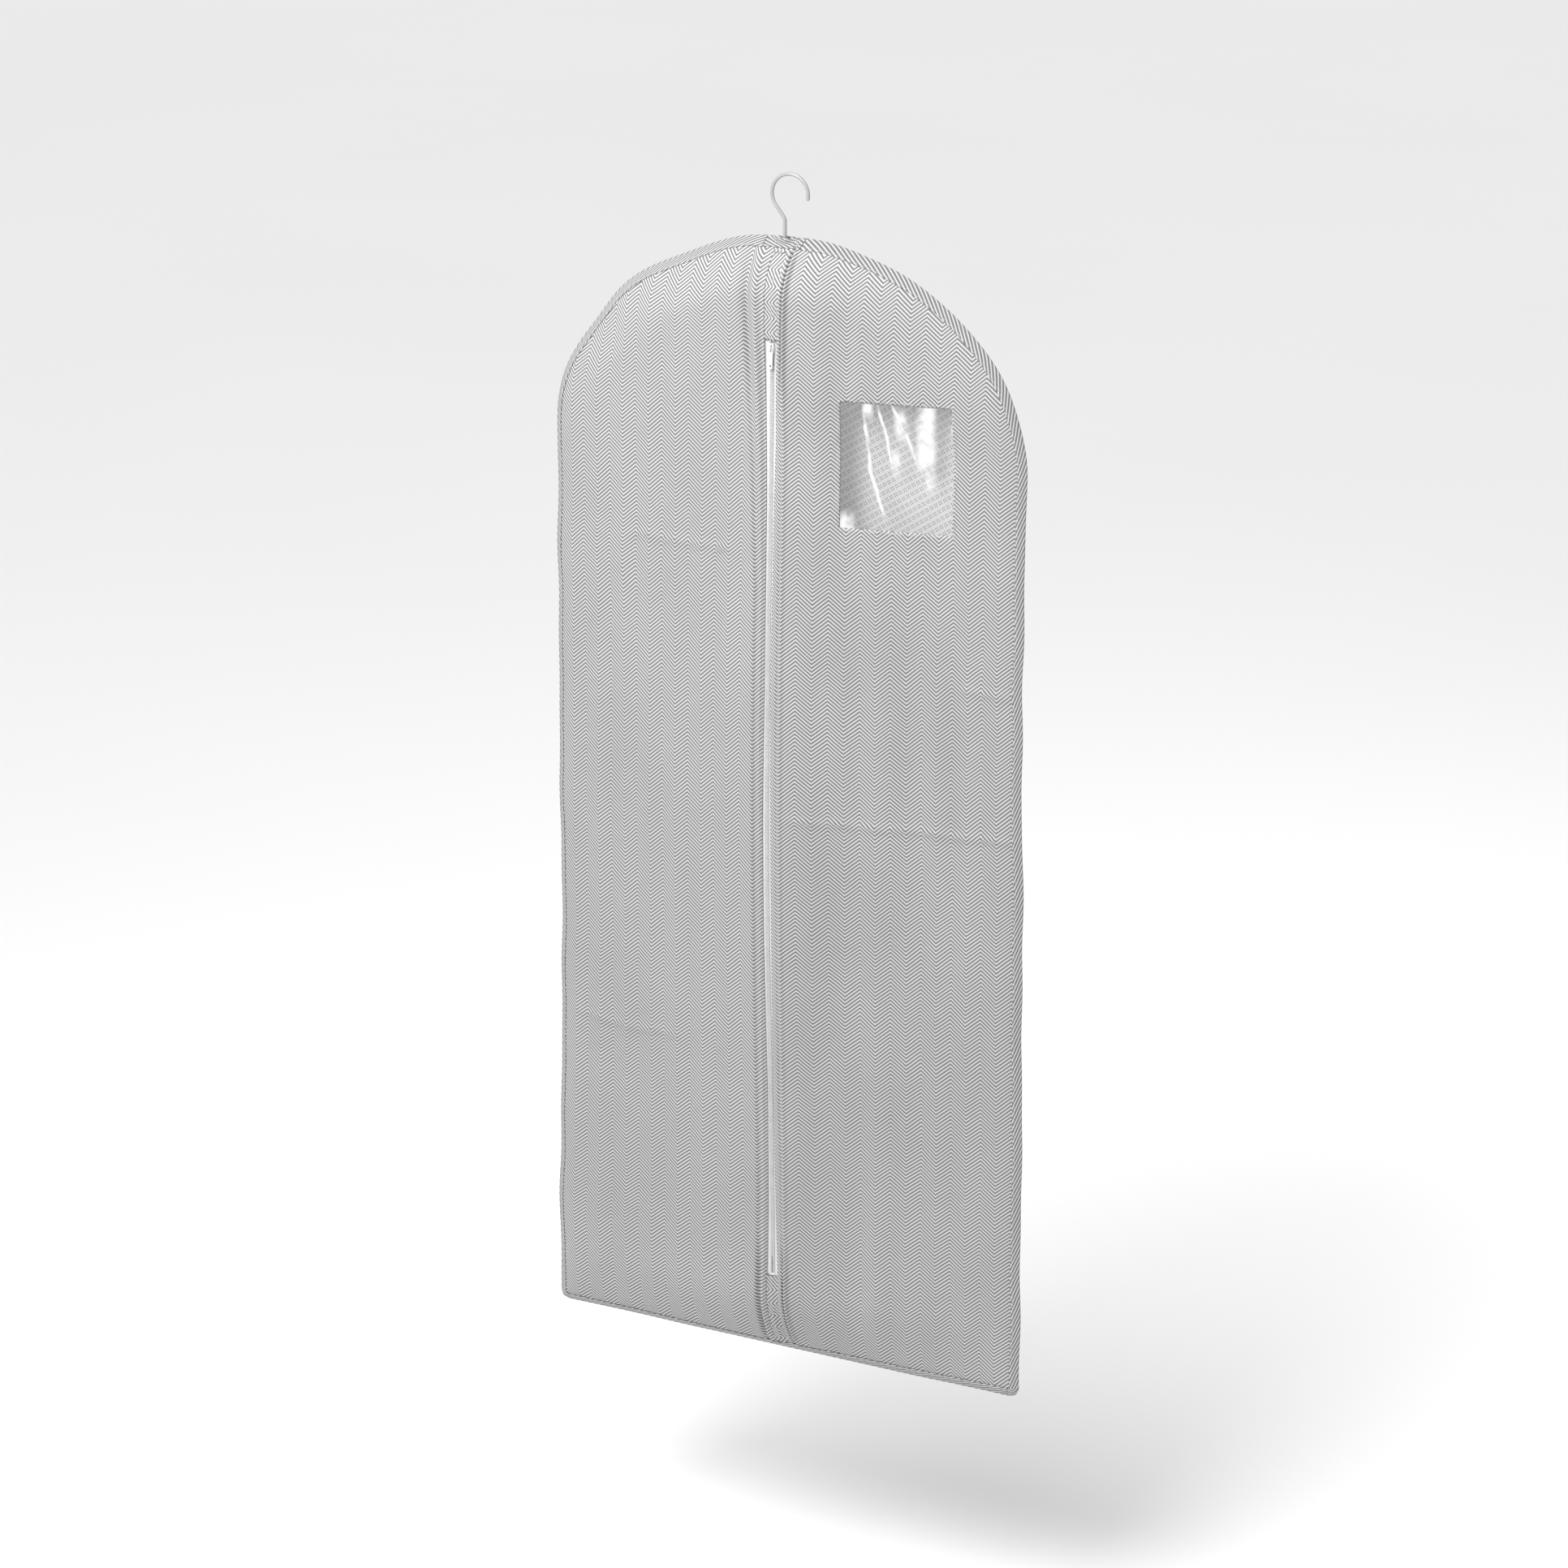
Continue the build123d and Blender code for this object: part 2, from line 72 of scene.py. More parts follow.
# ------------------------------------------------------------------ sizes
def reach(node, axis):
    """Lowest and highest coordinate of a CAD node along one axis."""
    low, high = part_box(node)
    index = "xyz".index(axis)
    return low[index], high[index]


apex = reach("eye_front_lip", "z")[1]
hem = reach("front_left_panel", "z")[0]
half_width = reach("back_panel", "x")[1]
seam_y = reach("back_panel", "y")[0]
zip_top = reach("zip_tape_top_ends", "z")[1]
zip_foot = reach("zip_tape_bottom_ends", "z")[0]
lapel_top = reach("left_lapel", "z")[1]
tape_outer = reach("zip_tape_right", "x")[1]
tape_face_y = reach("zip_tape_right", "y")[0]
coil_outer = reach("zip_coil_right", "x")[1]
coil_front_y = reach("zip_coil_right", "y")[0]
eye_half = reach("eye_front_lip", "x")[1]
film_left, film_right = reach("window_film", "x")
film_foot, film_top = reach("window_film", "z")
film_border = 0.007
window_edges = (
    film_left + film_border,
    film_right - film_border,
    film_foot + film_border,
    film_top - film_border,
)
thread_left = reach("window_stitching", "x")[0]
fold_x = next(j for j in frame["joints"] if j["name"] == "right_fold")["pos_m"][0]

shoulder_radius = 0.200    # the bag's outline, as the CAD draws it
arch_rise = 0.250
corner_radius = 0.012
shoulder_x = half_width - shoulder_radius
crown_radius = (shoulder_x**2 + arch_rise**2 - shoulder_radius**2) / (
    2 * (arch_rise - shoulder_radius)
)
spring = apex - arch_rise
crown_z = apex - crown_radius
centre_gap = crown_radius - shoulder_radius
join_x = shoulder_x * crown_radius / centre_gap
join_z = crown_z + (spring - crown_z) * crown_radius / centre_gap

eye_bow = 0.0115           # how far the front lip bows out round the hook
eye_back_bow = 0.003
roll_run = 0.008           # over which the cloth turns away from the seam
binding_width = 0.009
binding_lift = 0.0011      # of the binding's face over the cloth
binding_thickness = 0.00045
cloth_thickness = 0.0005
film_thickness = 0.0002
film_gap = 0.0004          # between the film and the cloth's inner face
tape_thickness = 0.0006
outline_gap = 0.0006       # between the cloth's cut edge and the outline
tab_half = 0.0115          # of each tab's width, laid flat
tab_depth = 0.0007         # of the tabs behind the front panels' edges
over_tape = 0.0012         # of the cloth's face before the zip tape's

# The film's creases. Across the film each follows start + slope * up + bend *
# up * up, as shares of its width and height. Then come its half width, the
# lowest and highest share where it shows, and its strength: the height of its
# ridge and how bright its painted highlight is.
film_creases = (
    (0.47, -0.52, 0.30, 0.020, 0.10, 0.96, 0.85),
    (0.27, -0.02, 0.02, 0.055, 0.80, 1.12, 0.80),
    (0.56, -0.17, -0.06, 0.018, 0.44, 1.12, 0.75),
    (0.53, -0.08, 0.00, 0.050, 0.40, 0.66, 0.65),
    (0.90, -0.42, -0.04, 0.020, 0.52, 1.12, 0.80),
    (0.60, -0.09, 0.00, 0.075, 0.66, 0.96, 0.60),
    (0.71, 0.03, 0.00, 0.100, 0.46, 1.10, 0.95),
    (0.77, -0.02, 0.00, 0.060, 0.30, 0.62, 0.55),
    (0.09, 0.10, 0.00, 0.100, -0.10, 0.20, 0.80),
    (0.97, 0.02, 0.00, 0.025, 0.04, 0.28, 0.75),
    (0.96, 0.00, 0.00, 0.035, 0.70, 0.94, 0.60),
)


# ------------------------------------------------- the shape of the cloth
def ease(t):
    """0 below 0, 1 above 1, and smooth between."""
    t = np.clip(t, 0, 1)
    return t * t * (3 - 2 * t)


def bell(t):
    return np.exp(-t * t)


def drift(a, b, seed, waves=6):
    """A smooth wandering value, about -1 to 1, that repeats nowhere."""
    rng = np.random.default_rng(seed)
    total = 0.0
    for _ in range(waves):
        turn, rate = rng.uniform(0, math.tau), rng.uniform(0.6, 1.7)
        lag = rng.uniform(0, math.tau)
        along = a * math.cos(turn) + b * math.sin(turn)
        total = total + np.sin(math.tau * rate * along + lag)
    return total / math.sqrt(waves * 2)


def arch(x):
    """Height of the bag's top edge at x."""
    ax = np.abs(x)
    crown = crown_z + np.sqrt(np.maximum(crown_radius**2 - ax**2, 0))
    across = ax - shoulder_x
    shoulder = spring + np.sqrt(np.maximum(shoulder_radius**2 - across**2, 0))
    return np.where(ax < join_x, crown, shoulder)


def foot(x):
    """Height of the bag's bottom edge at x."""
    across = np.maximum(np.abs(x) - half_width + corner_radius, 0)
    return hem + corner_radius - np.sqrt(np.maximum(corner_radius**2 - across**2, 0))


def from_top(x, z):
    """Distance inward from the arch; large below the straight sides' tops."""
    ax = np.abs(x)
    on_crown = ax * (join_z - crown_z) < (z - crown_z) * join_x
    crown = crown_radius - np.hypot(ax, z - crown_z)
    shoulder = shoulder_radius - np.hypot(ax - shoulder_x, z - spring)
    return np.where(z > spring, np.where(on_crown, crown, shoulder), 1.0)


def from_edge(x, z):
    side = half_width - np.abs(x)
    return np.maximum(np.minimum(np.minimum(from_top(x, z), side), z - hem), 0)


def fullness(x, z, top_run, foot_run):
    """1 in the open cloth, falling to 0 at the arch and at the hem."""
    top = np.sin(np.pi / 2 * np.clip(from_top(x, z) / top_run, 0, 1))
    top = 1 - ease((z - spring) / 0.1) * (1 - top)
    return top * np.sin(np.pi / 2 * np.clip((z - hem) / foot_run, 0, 1))


def along_zip(z):
    """0 at the zip's two ends and 1 halfway down."""
    share = np.clip((z - zip_foot) / (zip_top - zip_foot), 0, 1)
    return np.sin(np.pi * share) ** 2


def opening_half(z):
    """Half the width between the two cloth edges beside the zip."""
    below = apex - z
    return np.interp(
        below,
        [0.0, 0.06, 0.112, 0.18, 0.30, 0.52, 0.68, 0.83, 1.02, 1.18, 1.262, 1.37],
        [
            0.0085, 0.0088, 0.0086, 0.0070, 0.0048, 0.0038,
            0.0050, 0.0050, 0.0035, 0.0050, 0.0068, 0.0080,
        ],
    )


def zip_pleats(x, z):
    """How far the cloth lies back in the creases on both sides of the zip."""
    below = apex - z
    right = np.interp(
        below,
        [0.0, 0.11, 0.16, 0.30, 1.18, 1.25, 1.37],
        [0.0165, 0.0148, 0.0142, 0.0140, 0.0140, 0.0148, 0.0155],
    )
    left = np.interp(
        below,
        [0.0, 0.12, 0.25, 0.40, 1.15, 1.30, 1.37],
        [-0.038, -0.030, -0.021, -0.015, -0.015, -0.018, -0.020],
    )
    wide = np.interp(below, [0.0, 0.2, 0.4], [0.0060, 0.0045, 0.0030])
    ends = 1 - ease((below - 0.11) / 0.10) * ease((1.28 - below) / 0.08)
    past = x - right
    crease = (0.0022 + 0.0062 * ends) * bell(past / np.where(past < 0, 0.0027, 0.0017))
    crest = (0.0018 + 0.0032 * ends) * bell((past - 0.0041) / 0.0028)
    valley = (0.0030 + 0.0034 * ends) * bell((x - left) / wide)
    rise = (0.0018 + 0.0014 * ends) * bell((x - left - 2.2 * wide) / wide)
    return crease + valley - rise - crest


def soft_folds(x, z):
    """Shallow folds that hang down the front, forward positive."""
    side = half_width - np.abs(x)
    calm = ease(side / 0.05) * ease((apex - z) / 0.10) * ease((z - hem) / 0.05)
    broad = 0.0024 * drift(x / 0.15, z / 1.1, 11)
    fine = 0.0009 * drift(x / 0.055, z / 0.45, 23)
    pucker = 0.00022 * drift(x / 0.022, z / 0.030, 31)
    lean = x + 0.205 + 0.12 * (z - apex + 0.80)
    slanted = 0.0022 * bell(lean / 0.018) * bell((z - apex + 0.88) / 0.16)
    beam = 0.0022 * bell((x - 0.125) / 0.020) * ease((apex - z - 0.30) / 0.1)
    over = 0.0014 * bell((x - 0.104) / 0.005) * bell((z - apex + 0.13) / 0.06)
    under = 0.0014 * bell((x - 0.130) / 0.004) * bell((z - apex + 0.37) / 0.04)
    beside = ease((np.abs(x) - 0.02) / 0.04)
    return calm * beside * (broad + fine + pucker + slanted + beam) + over - under


def packing_creases(x, z):
    """Faint level ridges where the bag was folded flat."""
    ridges = (
        (0.363, -0.20, -0.04),
        (0.680, 0.01, 0.30),
        (0.507, 0.22, 0.30),
        (0.975, -0.28, -0.12),
    )
    total = 0.0
    for below, start, stop in ridges:
        level = apex - below + 0.002 * drift(x / 0.08, 0.0, int(below * 1000))
        across = ease((x - start) / 0.02) * ease((stop - x) / 0.02)
        total = total + across * bell((z - level) / 0.0024)
    return 0.0024 * total


def beside_hook(x, z):
    """1 at the middle of the gap for the hook, falling to 0 around it."""
    across = np.cos(np.pi / 2 * np.clip(x / eye_half, -1, 1)) ** 2
    return across * ease(1 - from_top(x, z) / 0.03)


def front_surface(x, z):
    """Y of the front cloth's outer face, before it settles."""
    side = half_width - np.abs(x)
    below = apex - z
    right_roll, left_roll, more_at_arch = 0.004, 0.009, 0.0045
    right_slope, left_slope = 0.0985, 0.074
    right_rise, left_bulge = 0.012, 0.013
    plump = np.where(x > 0, right_roll + more_at_arch * ease((z - spring) / 0.10), left_roll)
    roll = plump * (1 - np.exp(-from_edge(x, z) / roll_run))
    right = right_slope * side + right_rise * ease((side - 0.185) / 0.095)
    left = left_bulge * (1 - (1 - np.clip(side / 0.075, 0, 1)) ** 2) + left_slope * side
    full = fullness(x, z, 0.065, 0.09)
    drop = roll + np.where(x > 0, right, left) * full
    gap = np.abs(x) - opening_half(z)
    left_sunk = np.interp(
        below, [0.0, 0.10, 0.20, 1.22, 1.37], [0.0010, 0.0014, 0.0038, 0.0038, 0.0014]
    )
    right_sunk = 0.0052
    sunk = np.where(
        x > 0, right_sunk * (1 - ease(gap / 0.009)), left_sunk * (1 - ease(gap / 0.012))
    )
    drop = drop + full * (soft_folds(x, z) + packing_creases(x, z))
    drop = drop - np.minimum(2.5 * full, 1) * zip_pleats(x, z) - full * sunk
    # the cloth lies over the zip's tape, and falls away steeply beyond it
    off_tape = np.maximum(np.abs(x) - tape_outer, 0) + np.maximum(z - zip_top, 0)
    off_tape = off_tape + np.maximum(zip_foot - z, 0)
    drop = np.maximum(drop, seam_y - tape_face_y + over_tape - 2.5 * off_tape)
    return seam_y - np.maximum(drop, eye_bow * beside_hook(x, z))


def back_surface(x, z):
    """Y of the back cloth's outer face, before it settles."""
    back_roll, back_body = 0.005, 0.007
    roll = back_roll * (1 - np.exp(-from_edge(x, z) / roll_run))
    full = fullness(x, z, 0.06, 0.09)
    side = half_width - np.abs(x)
    body = back_body * np.sin(np.pi / 2 * np.clip(side / 0.12, 0, 1)) * full
    calm = ease(side / 0.05) * ease((apex - z) / 0.18) * full
    folds = 0.0016 * drift(x / 0.13, z / 0.9, 47) + 0.0006 * drift(x / 0.05, z / 0.4, 53)
    return seam_y + np.maximum(roll + body + calm * folds, eye_back_bow * beside_hook(x, z))


def settle(points):
    """Moves laid-out points to where the hanging bag carries them."""
    x, y, z = points[:, 0], points[:, 1], points[:, 2]
    outer = ease((np.abs(x) - 0.06) / 0.16)
    near = bell(x / 0.075)
    slack = along_zip(z)
    sway = 0.0013 * outer * drift(z / 0.17, np.sign(x) * 0.7, 61)
    sway = sway - 0.0030 * near * slack
    lift = 0.0011 * outer * drift(x / 0.16, z / 0.6, 67)
    crown = ease((z - spring - 0.08) / 0.13)
    dip = 0.0075 * bell((x + 0.125) / 0.06) + 0.003 * bell((x - 0.10) / 0.04)
    sag = crown * (dip + 0.0045 * bell(x / 0.06))
    share = (apex - z) / (apex - hem)
    flare = x * 0.032 * (share - 0.42)
    droop = 0.0045 * share**4 * x / half_width
    shoulder = 0.007 * bell((x + 0.25) / 0.05) * bell((z - apex + 0.12) / 0.05)
    waist = 0.0045 * np.where(x > 0, x / half_width, 0) * bell((share - 0.38) / 0.16)
    spread = 0.005 * np.where(x < 0, x / half_width, 0) * ease((share - 0.70) / 0.2)
    swell = 0.0085 * slack * bell(x / 0.13)
    front = ease((seam_y - y) / 0.02)
    aside = sway + flare + shoulder - waist + spread
    return np.stack([x + aside, y - swell * front, z + lift - sag - droop], axis=1)


# ---------------------------------------------------------------- meshes
def new_object(name, mesh, finishes):
    piece = bpy.data.objects.new(name, mesh)
    bpy.context.scene.collection.objects.link(piece)
    for finish in finishes:
        mesh.materials.append(finish)
    return piece


def smooth_shade(mesh):
    mesh.polygons.foreach_set("use_smooth", [True] * len(mesh.polygons))
    mesh.update()


def woven_mesh(name, points, cloth, turned=False):
    """A mesh from a grid of points, rows by columns, with its cloth places."""
    rows, columns = points.shape[:2]
    index = np.arange(rows * columns).reshape(rows, columns)
    around = [index[:-1, :-1], index[:-1, 1:], index[1:, 1:], index[1:, :-1]]
    quads = np.stack(around, axis=-1).reshape(-1, 4)
    if turned:
        quads = quads[:, ::-1]
    mesh = bpy.data.meshes.new(name)
    mesh.from_pydata(points.reshape(-1, 3).tolist(), [], quads.tolist())
    layer = mesh.uv_layers.new(name="cloth")
    corners = np.zeros(len(mesh.loops), np.int32)
    mesh.loops.foreach_get("vertex_index", corners)
    layer.data.foreach_set("uv", cloth.reshape(-1, 2)[corners].ravel())
    smooth_shade(mesh)
    return mesh


def read_points(mesh):
    flat = np.zeros(len(mesh.vertices) * 3)
    mesh.vertices.foreach_get("co", flat)
    return flat.reshape(-1, 3)


def write_points(mesh, points):
    mesh.vertices.foreach_set("co", points.ravel())
    mesh.update()


def settle_piece(piece):
    write_points(piece.data, settle(read_points(piece.data)))


def make_real(piece):
    """Replaces a piece's mesh by what its modifiers make of it."""
    bpy.context.view_layer.update()
    shown = piece.evaluated_get(bpy.context.evaluated_depsgraph_get())
    mesh = bpy.data.meshes.new_from_object(shown)
    name = piece.name
    bpy.data.objects.remove(piece)
    made = new_object(name, mesh, [])
    made.name = name
    mesh.name = name
    return made


def thicken(piece, depth, inner=0):
    """Gives a sheet its thickness, inward, and its inner face a finish."""
    wall = piece.modifiers.new("wall", "SOLIDIFY")
    wall.thickness = depth
    wall.offset = -1
    wall.use_even_offset = False
    wall.material_offset = inner
    made = make_real(piece)
    smooth_shade(made.data)
    return made


# --------------------------------------------------------------- finishes
class Value:
    """A shader socket. Sums on it add the Math nodes that they need."""

    def __init__(self, finish, socket):
        self.finish = finish
        self.socket = socket

    def math(self, operation, *others):
        return self.finish.node("Math", {"operation": operation}, self, *others)

    def __add__(self, other):
        return self.math("ADD", other)

    def __sub__(self, other):
        return self.math("SUBTRACT", other)

    def __mul__(self, other):
        return self.math("MULTIPLY", other)

    def __truediv__(self, other):
        return self.math("DIVIDE", other)

    def __rsub__(self, other):
        return self.finish.node("Math", {"operation": "SUBTRACT"}, other, self)

    __radd__ = __add__

    def wave(self):
        """-1 to 1, once for each whole number of the value."""
        return (self * math.tau).math("SINE")

    def between(self, low, high):
        """0 below low, 1 above high, and smooth between."""
        return self.finish.node(
            "MapRange",
            {"interpolation_type": "SMOOTHSTEP"},
            Value=self,
            From_Min=low,
            From_Max=high,
        )


class Finish:
    """A material, and the one way in which its nodes are made."""

    def __init__(self, name):
        self.material = bpy.data.materials.new(name)
        self.material.use_nodes = True
        self.tree = self.material.node_tree
        self.tree.nodes.clear()

    def node(self, kind, settings=None, *values, out=0, **named):
        made = self.tree.nodes.new("ShaderNode" + kind)
        for key, value in (settings or {}).items():
            setattr(made, key, value)
        for place, value in enumerate(values):
            self.feed(made.inputs[place], value)
        for name, value in named.items():
            self.feed(made.inputs[name.replace("_", " ")], value)
        return Value(self, made.outputs[out])

    def feed(self, socket, value):
        if isinstance(value, Value):
            self.tree.links.new(value.socket, socket)
        else:
            socket.default_value = value

    def mix(self, share, first, second):
        """A colour between two others."""
        made = self.tree.nodes.new("ShaderNodeMix")
        made.data_type = "RGBA"
        for place, value in ((0, share), (6, first), (7, second)):
            self.feed(made.inputs[place], value)
        return Value(self, made.outputs[2])

    def place(self):
        return self.node("TexCoord", None, out=3)

    def cloth_place(self):
        """The two coordinates of the cloth, in metres."""
        spot = self.node("UVMap", {"uv_map": "cloth"})
        return spot, *self.parts(spot)

    def parts(self, vector):
        split = self.tree.nodes.new("ShaderNodeSeparateXYZ")
        self.feed(split.inputs[0], vector)
        return [Value(self, socket) for socket in split.outputs][:2]

    def noise(self, vector, scale, detail=2.0):
        return self.node("TexNoise", None, Vector=vector, Scale=scale, Detail=detail)

    def bump(self, height, strength, distance):
        return self.node("Bump", None, Height=height, Strength=strength, Distance=distance)

    def coat(self, **named):
        return self.node("BsdfPrincipled", None, **named)

    def done(self, shader):
        out = self.tree.nodes.new("ShaderNodeOutputMaterial")
        self.feed(out.inputs[0], shader)
        return self.material


paper_white = (0.53, 0.53, 0.53, 1)
ink_grey = (0.152, 0.152, 0.154, 1)
column_width = 0.0181      # of the herringbone's columns
line_pitch = 0.0046        # between its lines, measured along a column
line_slope = 0.86
bias_pitch = 0.0034        # between the binding's slanting lines
bias_angle = math.radians(24)
motif_across, motif_along = 0.0066, 0.0082
motif_angle = math.radians(32)
dot_offset = 0.0013        # of each dot from its motif's middle, both ways


def weave_height(f, spot):
    """The fine over-and-under of the threads."""
    u, v = f.parts(spot)
    threads = (u / 0.0011).wave() * (v / 0.0011).wave()
    return threads * 0.5 + f.noise(spot, 900.0, 3.0) * 0.8


def cloth_shader(f, spot, ink, painted_glow=0.0):
    """Printed woven cloth: paper white with grey ink where ink is 1.

    The painted glow is emission: painted light that stands in for the light coming through the thin cloth
    from outside.
    """
    tone = f.noise(spot, 6.0, 3.0).between(0.25, 0.75)
    speckle = f.noise(spot, 1500.0, 2.0).between(0.30, 0.62)
    ground = f.mix(tone, (0.49, 0.49, 0.492, 1), paper_white)
    ground = f.mix(speckle * 0.06, ground, (0.385, 0.385, 0.388, 1))
    worn = ink * (0.94 + speckle * 0.06)
    colour = f.mix(worn, ground, ink_grey)
    weave = weave_height(f, spot) - ink * 0.15
    return f.coat(
        Base_Color=colour,
        Roughness=0.86 - tone * 0.06,
        Specular_IOR_Level=0.25,
        Sheen_Weight=0.08,
        Sheen_Roughness=0.6,
        # painted light: the cloth emits its own colour at the painted glow's strength
        Emission_Color=colour,
        Emission_Strength=painted_glow,
        Normal=f.bump(weave, 0.22, 0.00025),
    )


def herringbone(across, along):
    """1 on the grey lines of the zigzag columns, 0 between them."""
    zigzag = across.math("PINGPONG", column_width)
    return ((along + zigzag * line_slope) / line_pitch).wave().between(-0.42, 0.42)


def printed_cloth(name, sideways=False):
    f = Finish(name)
    spot, u, v = f.cloth_place()
    wander = (f.noise(spot, 14.0, 1.0) - 0.5) * 0.004
    if sideways:
        lines = herringbone(v + 0.006, u + wander)
    else:
        lines = herringbone(u, v + wander)
    return f.done(cloth_shader(f, spot, lines))


def bias_cloth(name):
    """The same cloth cut on the slant, so that only one way of line shows."""
    f = Finish(name)
    spot, u, v = f.cloth_place()
    wander = (f.noise(spot, 25.0, 1.0) - 0.5) * 0.0012
    slant = u * math.sin(bias_angle) + v * math.cos(bias_angle) + wander
    lines = (slant / bias_pitch).wave().between(-0.75, 0.25)
    return f.done(cloth_shader(f, spot, lines))


def dotted_lining(name):
    """The inner face: white, with a slanted grid of small four-dot motifs."""
    f = Finish(name)
    spot, u, v = f.cloth_place()
    lean, rise = math.cos(motif_angle), math.sin(motif_angle)
    squares = 0.0
    parts = ((u * lean + v * rise, motif_across), (v * lean - u * rise, motif_along))
    for part, pitch in parts:
        middle = ((part / pitch).math("FRACT") - 0.5).math("ABSOLUTE") * pitch
        off = middle - dot_offset
        squares = off * off + squares
    dots = 1 - squares.math("SQRT").between(0.00055, 0.00110)
    # painted light: the inner face glows with emission, as if lit through the cloth
    return f.done(cloth_shader(f, spot, dots, painted_glow=0.26))


def clear_film(name):
    """Flexible clear film with soft haze, and painted highlights (white glare) along its creases."""
    f = Finish(name)
    spot, u, v = f.cloth_place()
    across = (u - film_left) / (film_right - film_left)
    up = (v - film_foot) / (film_top - film_foot)
    waver = (f.noise(spot, 30.0, 2.0) - 0.5) * 0.05
    haze_and_glare = f.noise(spot, 70.0, 3.0).between(0.62, 0.80) * 0.15
    patchy = f.noise(spot, 55.0, 3.0).between(0.25, 0.62)
    # painted highlights: each crease gets a band of white glare painted into the film
    for start, slope, bend, width, low, high, strength in film_creases:
        line = start + up * slope + up * up * bend + waver
        off = (across - line).math("ABSOLUTE")
        band = up.between(low, low + 0.12) * (1 - up.between(high - 0.12, high))
        painted_glare = (1 - off.between(width * 0.15, width)) * band * strength * patchy
        haze_and_glare = haze_and_glare.math("MAXIMUM", painted_glare)
    ripple = f.noise(f.node("CombineXYZ", None, u * 70.0, v * 18.0, 0.0), 1.0, 3.0)
    clear = f.node("BsdfTransparent", None, Color=(0.965, 0.965, 0.965, 1))
    # the white that the haze and the painted glare mix in, under a real glossy coat
    gloss = f.coat(
        Base_Color=(0.84, 0.84, 0.84, 1),
        Roughness=0.18,
        Coat_Weight=0.8,
        Coat_Roughness=0.05,
        Normal=f.bump(ripple, 0.5, 0.003),
    )
    # the white shader is mixed in where the haze and the painted highlights are
    return f.done(f.node("MixShader", None, 0.06 + haze_and_glare * 0.80, clear, gloss))


def woven_tape(name):
    """Narrow white tape with fine ribs along its length."""
    f = Finish(name)
    spot, u, v = f.cloth_place()
    ribs = (u / 0.0009).wave() * 0.6 + (v / 0.0007).wave() * 0.4
    fluff = f.noise(spot, 1200.0, 3.0)
    colour = f.mix(fluff.between(0.3, 0.7), (0.63, 0.63, 0.633, 1), (0.69, 0.69, 0.69, 1))
    return f.done(
        f.coat(
            Base_Color=colour,
            Roughness=0.80,
            Sheen_Weight=0.1,
            Normal=f.bump(ribs + fluff, 0.4, 0.0002),
        )
    )


def moulded(name, colour, rough, grain, coat=0.0):
    """Plastic, enamel or coated wire: a base tone with a faint grain."""
    f = Finish(name)
    spot = f.place()
    mottle = f.noise(spot, 60.0, 3.0).between(0.3, 0.7)
    fine = f.noise(spot, grain, 2.0)
    darker = tuple(0.93 * part for part in colour) + (1,)
    return f.done(
        f.coat(
            Base_Color=f.mix(mottle, darker, colour + (1,)),
            Roughness=rough + fine * 0.10,
            Coat_Weight=coat,
            Coat_Roughness=0.12,
            Normal=f.bump(fine, 0.12, 0.0002),
        )
    )


def brushed_metal(name):
    f = Finish(name)
    spot = f.place()
    stretched = f.node("Mapping", None, Vector=spot, Scale=(1.0, 1.0, 22.0))
    grain = f.noise(stretched, 320.0, 3.0)
    return f.done(
        f.coat(
            Base_Color=f.mix(grain, (0.50, 0.50, 0.51, 1), (0.66, 0.66, 0.67, 1)),
            Metallic=1.0,
            Roughness=0.28 + grain * 0.15,
            Normal=f.bump(grain, 0.1, 0.0001),
        )
    )


print_finish = printed_cloth("printed_cloth")
tab_finish = printed_cloth("printed_cloth_sideways", sideways=True)
bias_finish = bias_cloth("binding_cloth")
lining_finish = dotted_lining("lining")
film_finish = clear_film("clear_film")
tape_finish = woven_tape("zip_tape")
coil_finish = moulded("zip_coil", (0.70, 0.70, 0.697), 0.36, 400.0)
thread_finish = moulded("thread", (0.60, 0.60, 0.604), 0.70, 900.0)
enamel_finish = moulded("white_enamel", (0.64, 0.64, 0.64), 0.22, 260.0, 0.6)
wire_finish = moulded("coated_wire", (0.36, 0.36, 0.366), 0.34, 500.0, 0.3)
hanger_finish = moulded("hanger_plastic", (0.80, 0.80, 0.78), 0.38, 300.0)
bush_finish = moulded("bush_plastic", (0.72, 0.72, 0.71), 0.42, 300.0)
rivet_finish = brushed_metal("rivet_steel")


# --------------------------------------------------- how pieces are carried
side_names = {1: "right", -1: "left"}
fold_run = 0.024           # width of cloth that bends beside each fold line
slit_run = 0.26            # length over which the zip's opening closes up
travel = next(j for j in frame["joints"] if j["name"] == "zip_slide")["range_m"][1]
slider_foot, slider_top = reach("zip_slider", "z")
opened_slider_top = slider_top - travel


def carry_on_lapel(piece, side):
    """Bends a piece between the bag and a lapel, and holds it at the ends."""
    outer = fold_x + 0.002
    start = (side * outer, 0, 0)
    end = (side * (outer - fold_run), 0, 0)
    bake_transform(piece, "bag", f"{side_names[side]}_lapel", start=start, end=end)
    z = read_points(piece.data)[:, 2]
    held = ease((lapel_top - z) / slit_run) * ease((z - opened_slider_top) / slit_run)
    weights = piece.data.attributes["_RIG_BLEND"].data
    share = np.zeros(len(weights))
    weights.foreach_get("value", share)
    weights.foreach_set("value", share * held)


def make_sheet(name, grid, finishes, depth, turned=False, cut=None):
    """A settled sheet from grids of x, y and z, and the area of its face."""
    cloth = np.stack([grid[0], grid[2]], axis=-1)
    mesh = woven_mesh(name, np.stack(grid, axis=-1), cloth, turned)
    if cut:
        cut(mesh)
    piece = new_object(name, mesh, finishes)
    settle_piece(piece)
    area = sum(face.area for face in mesh.polygons)
    return thicken(piece, depth, inner=len(finishes) - 1), area


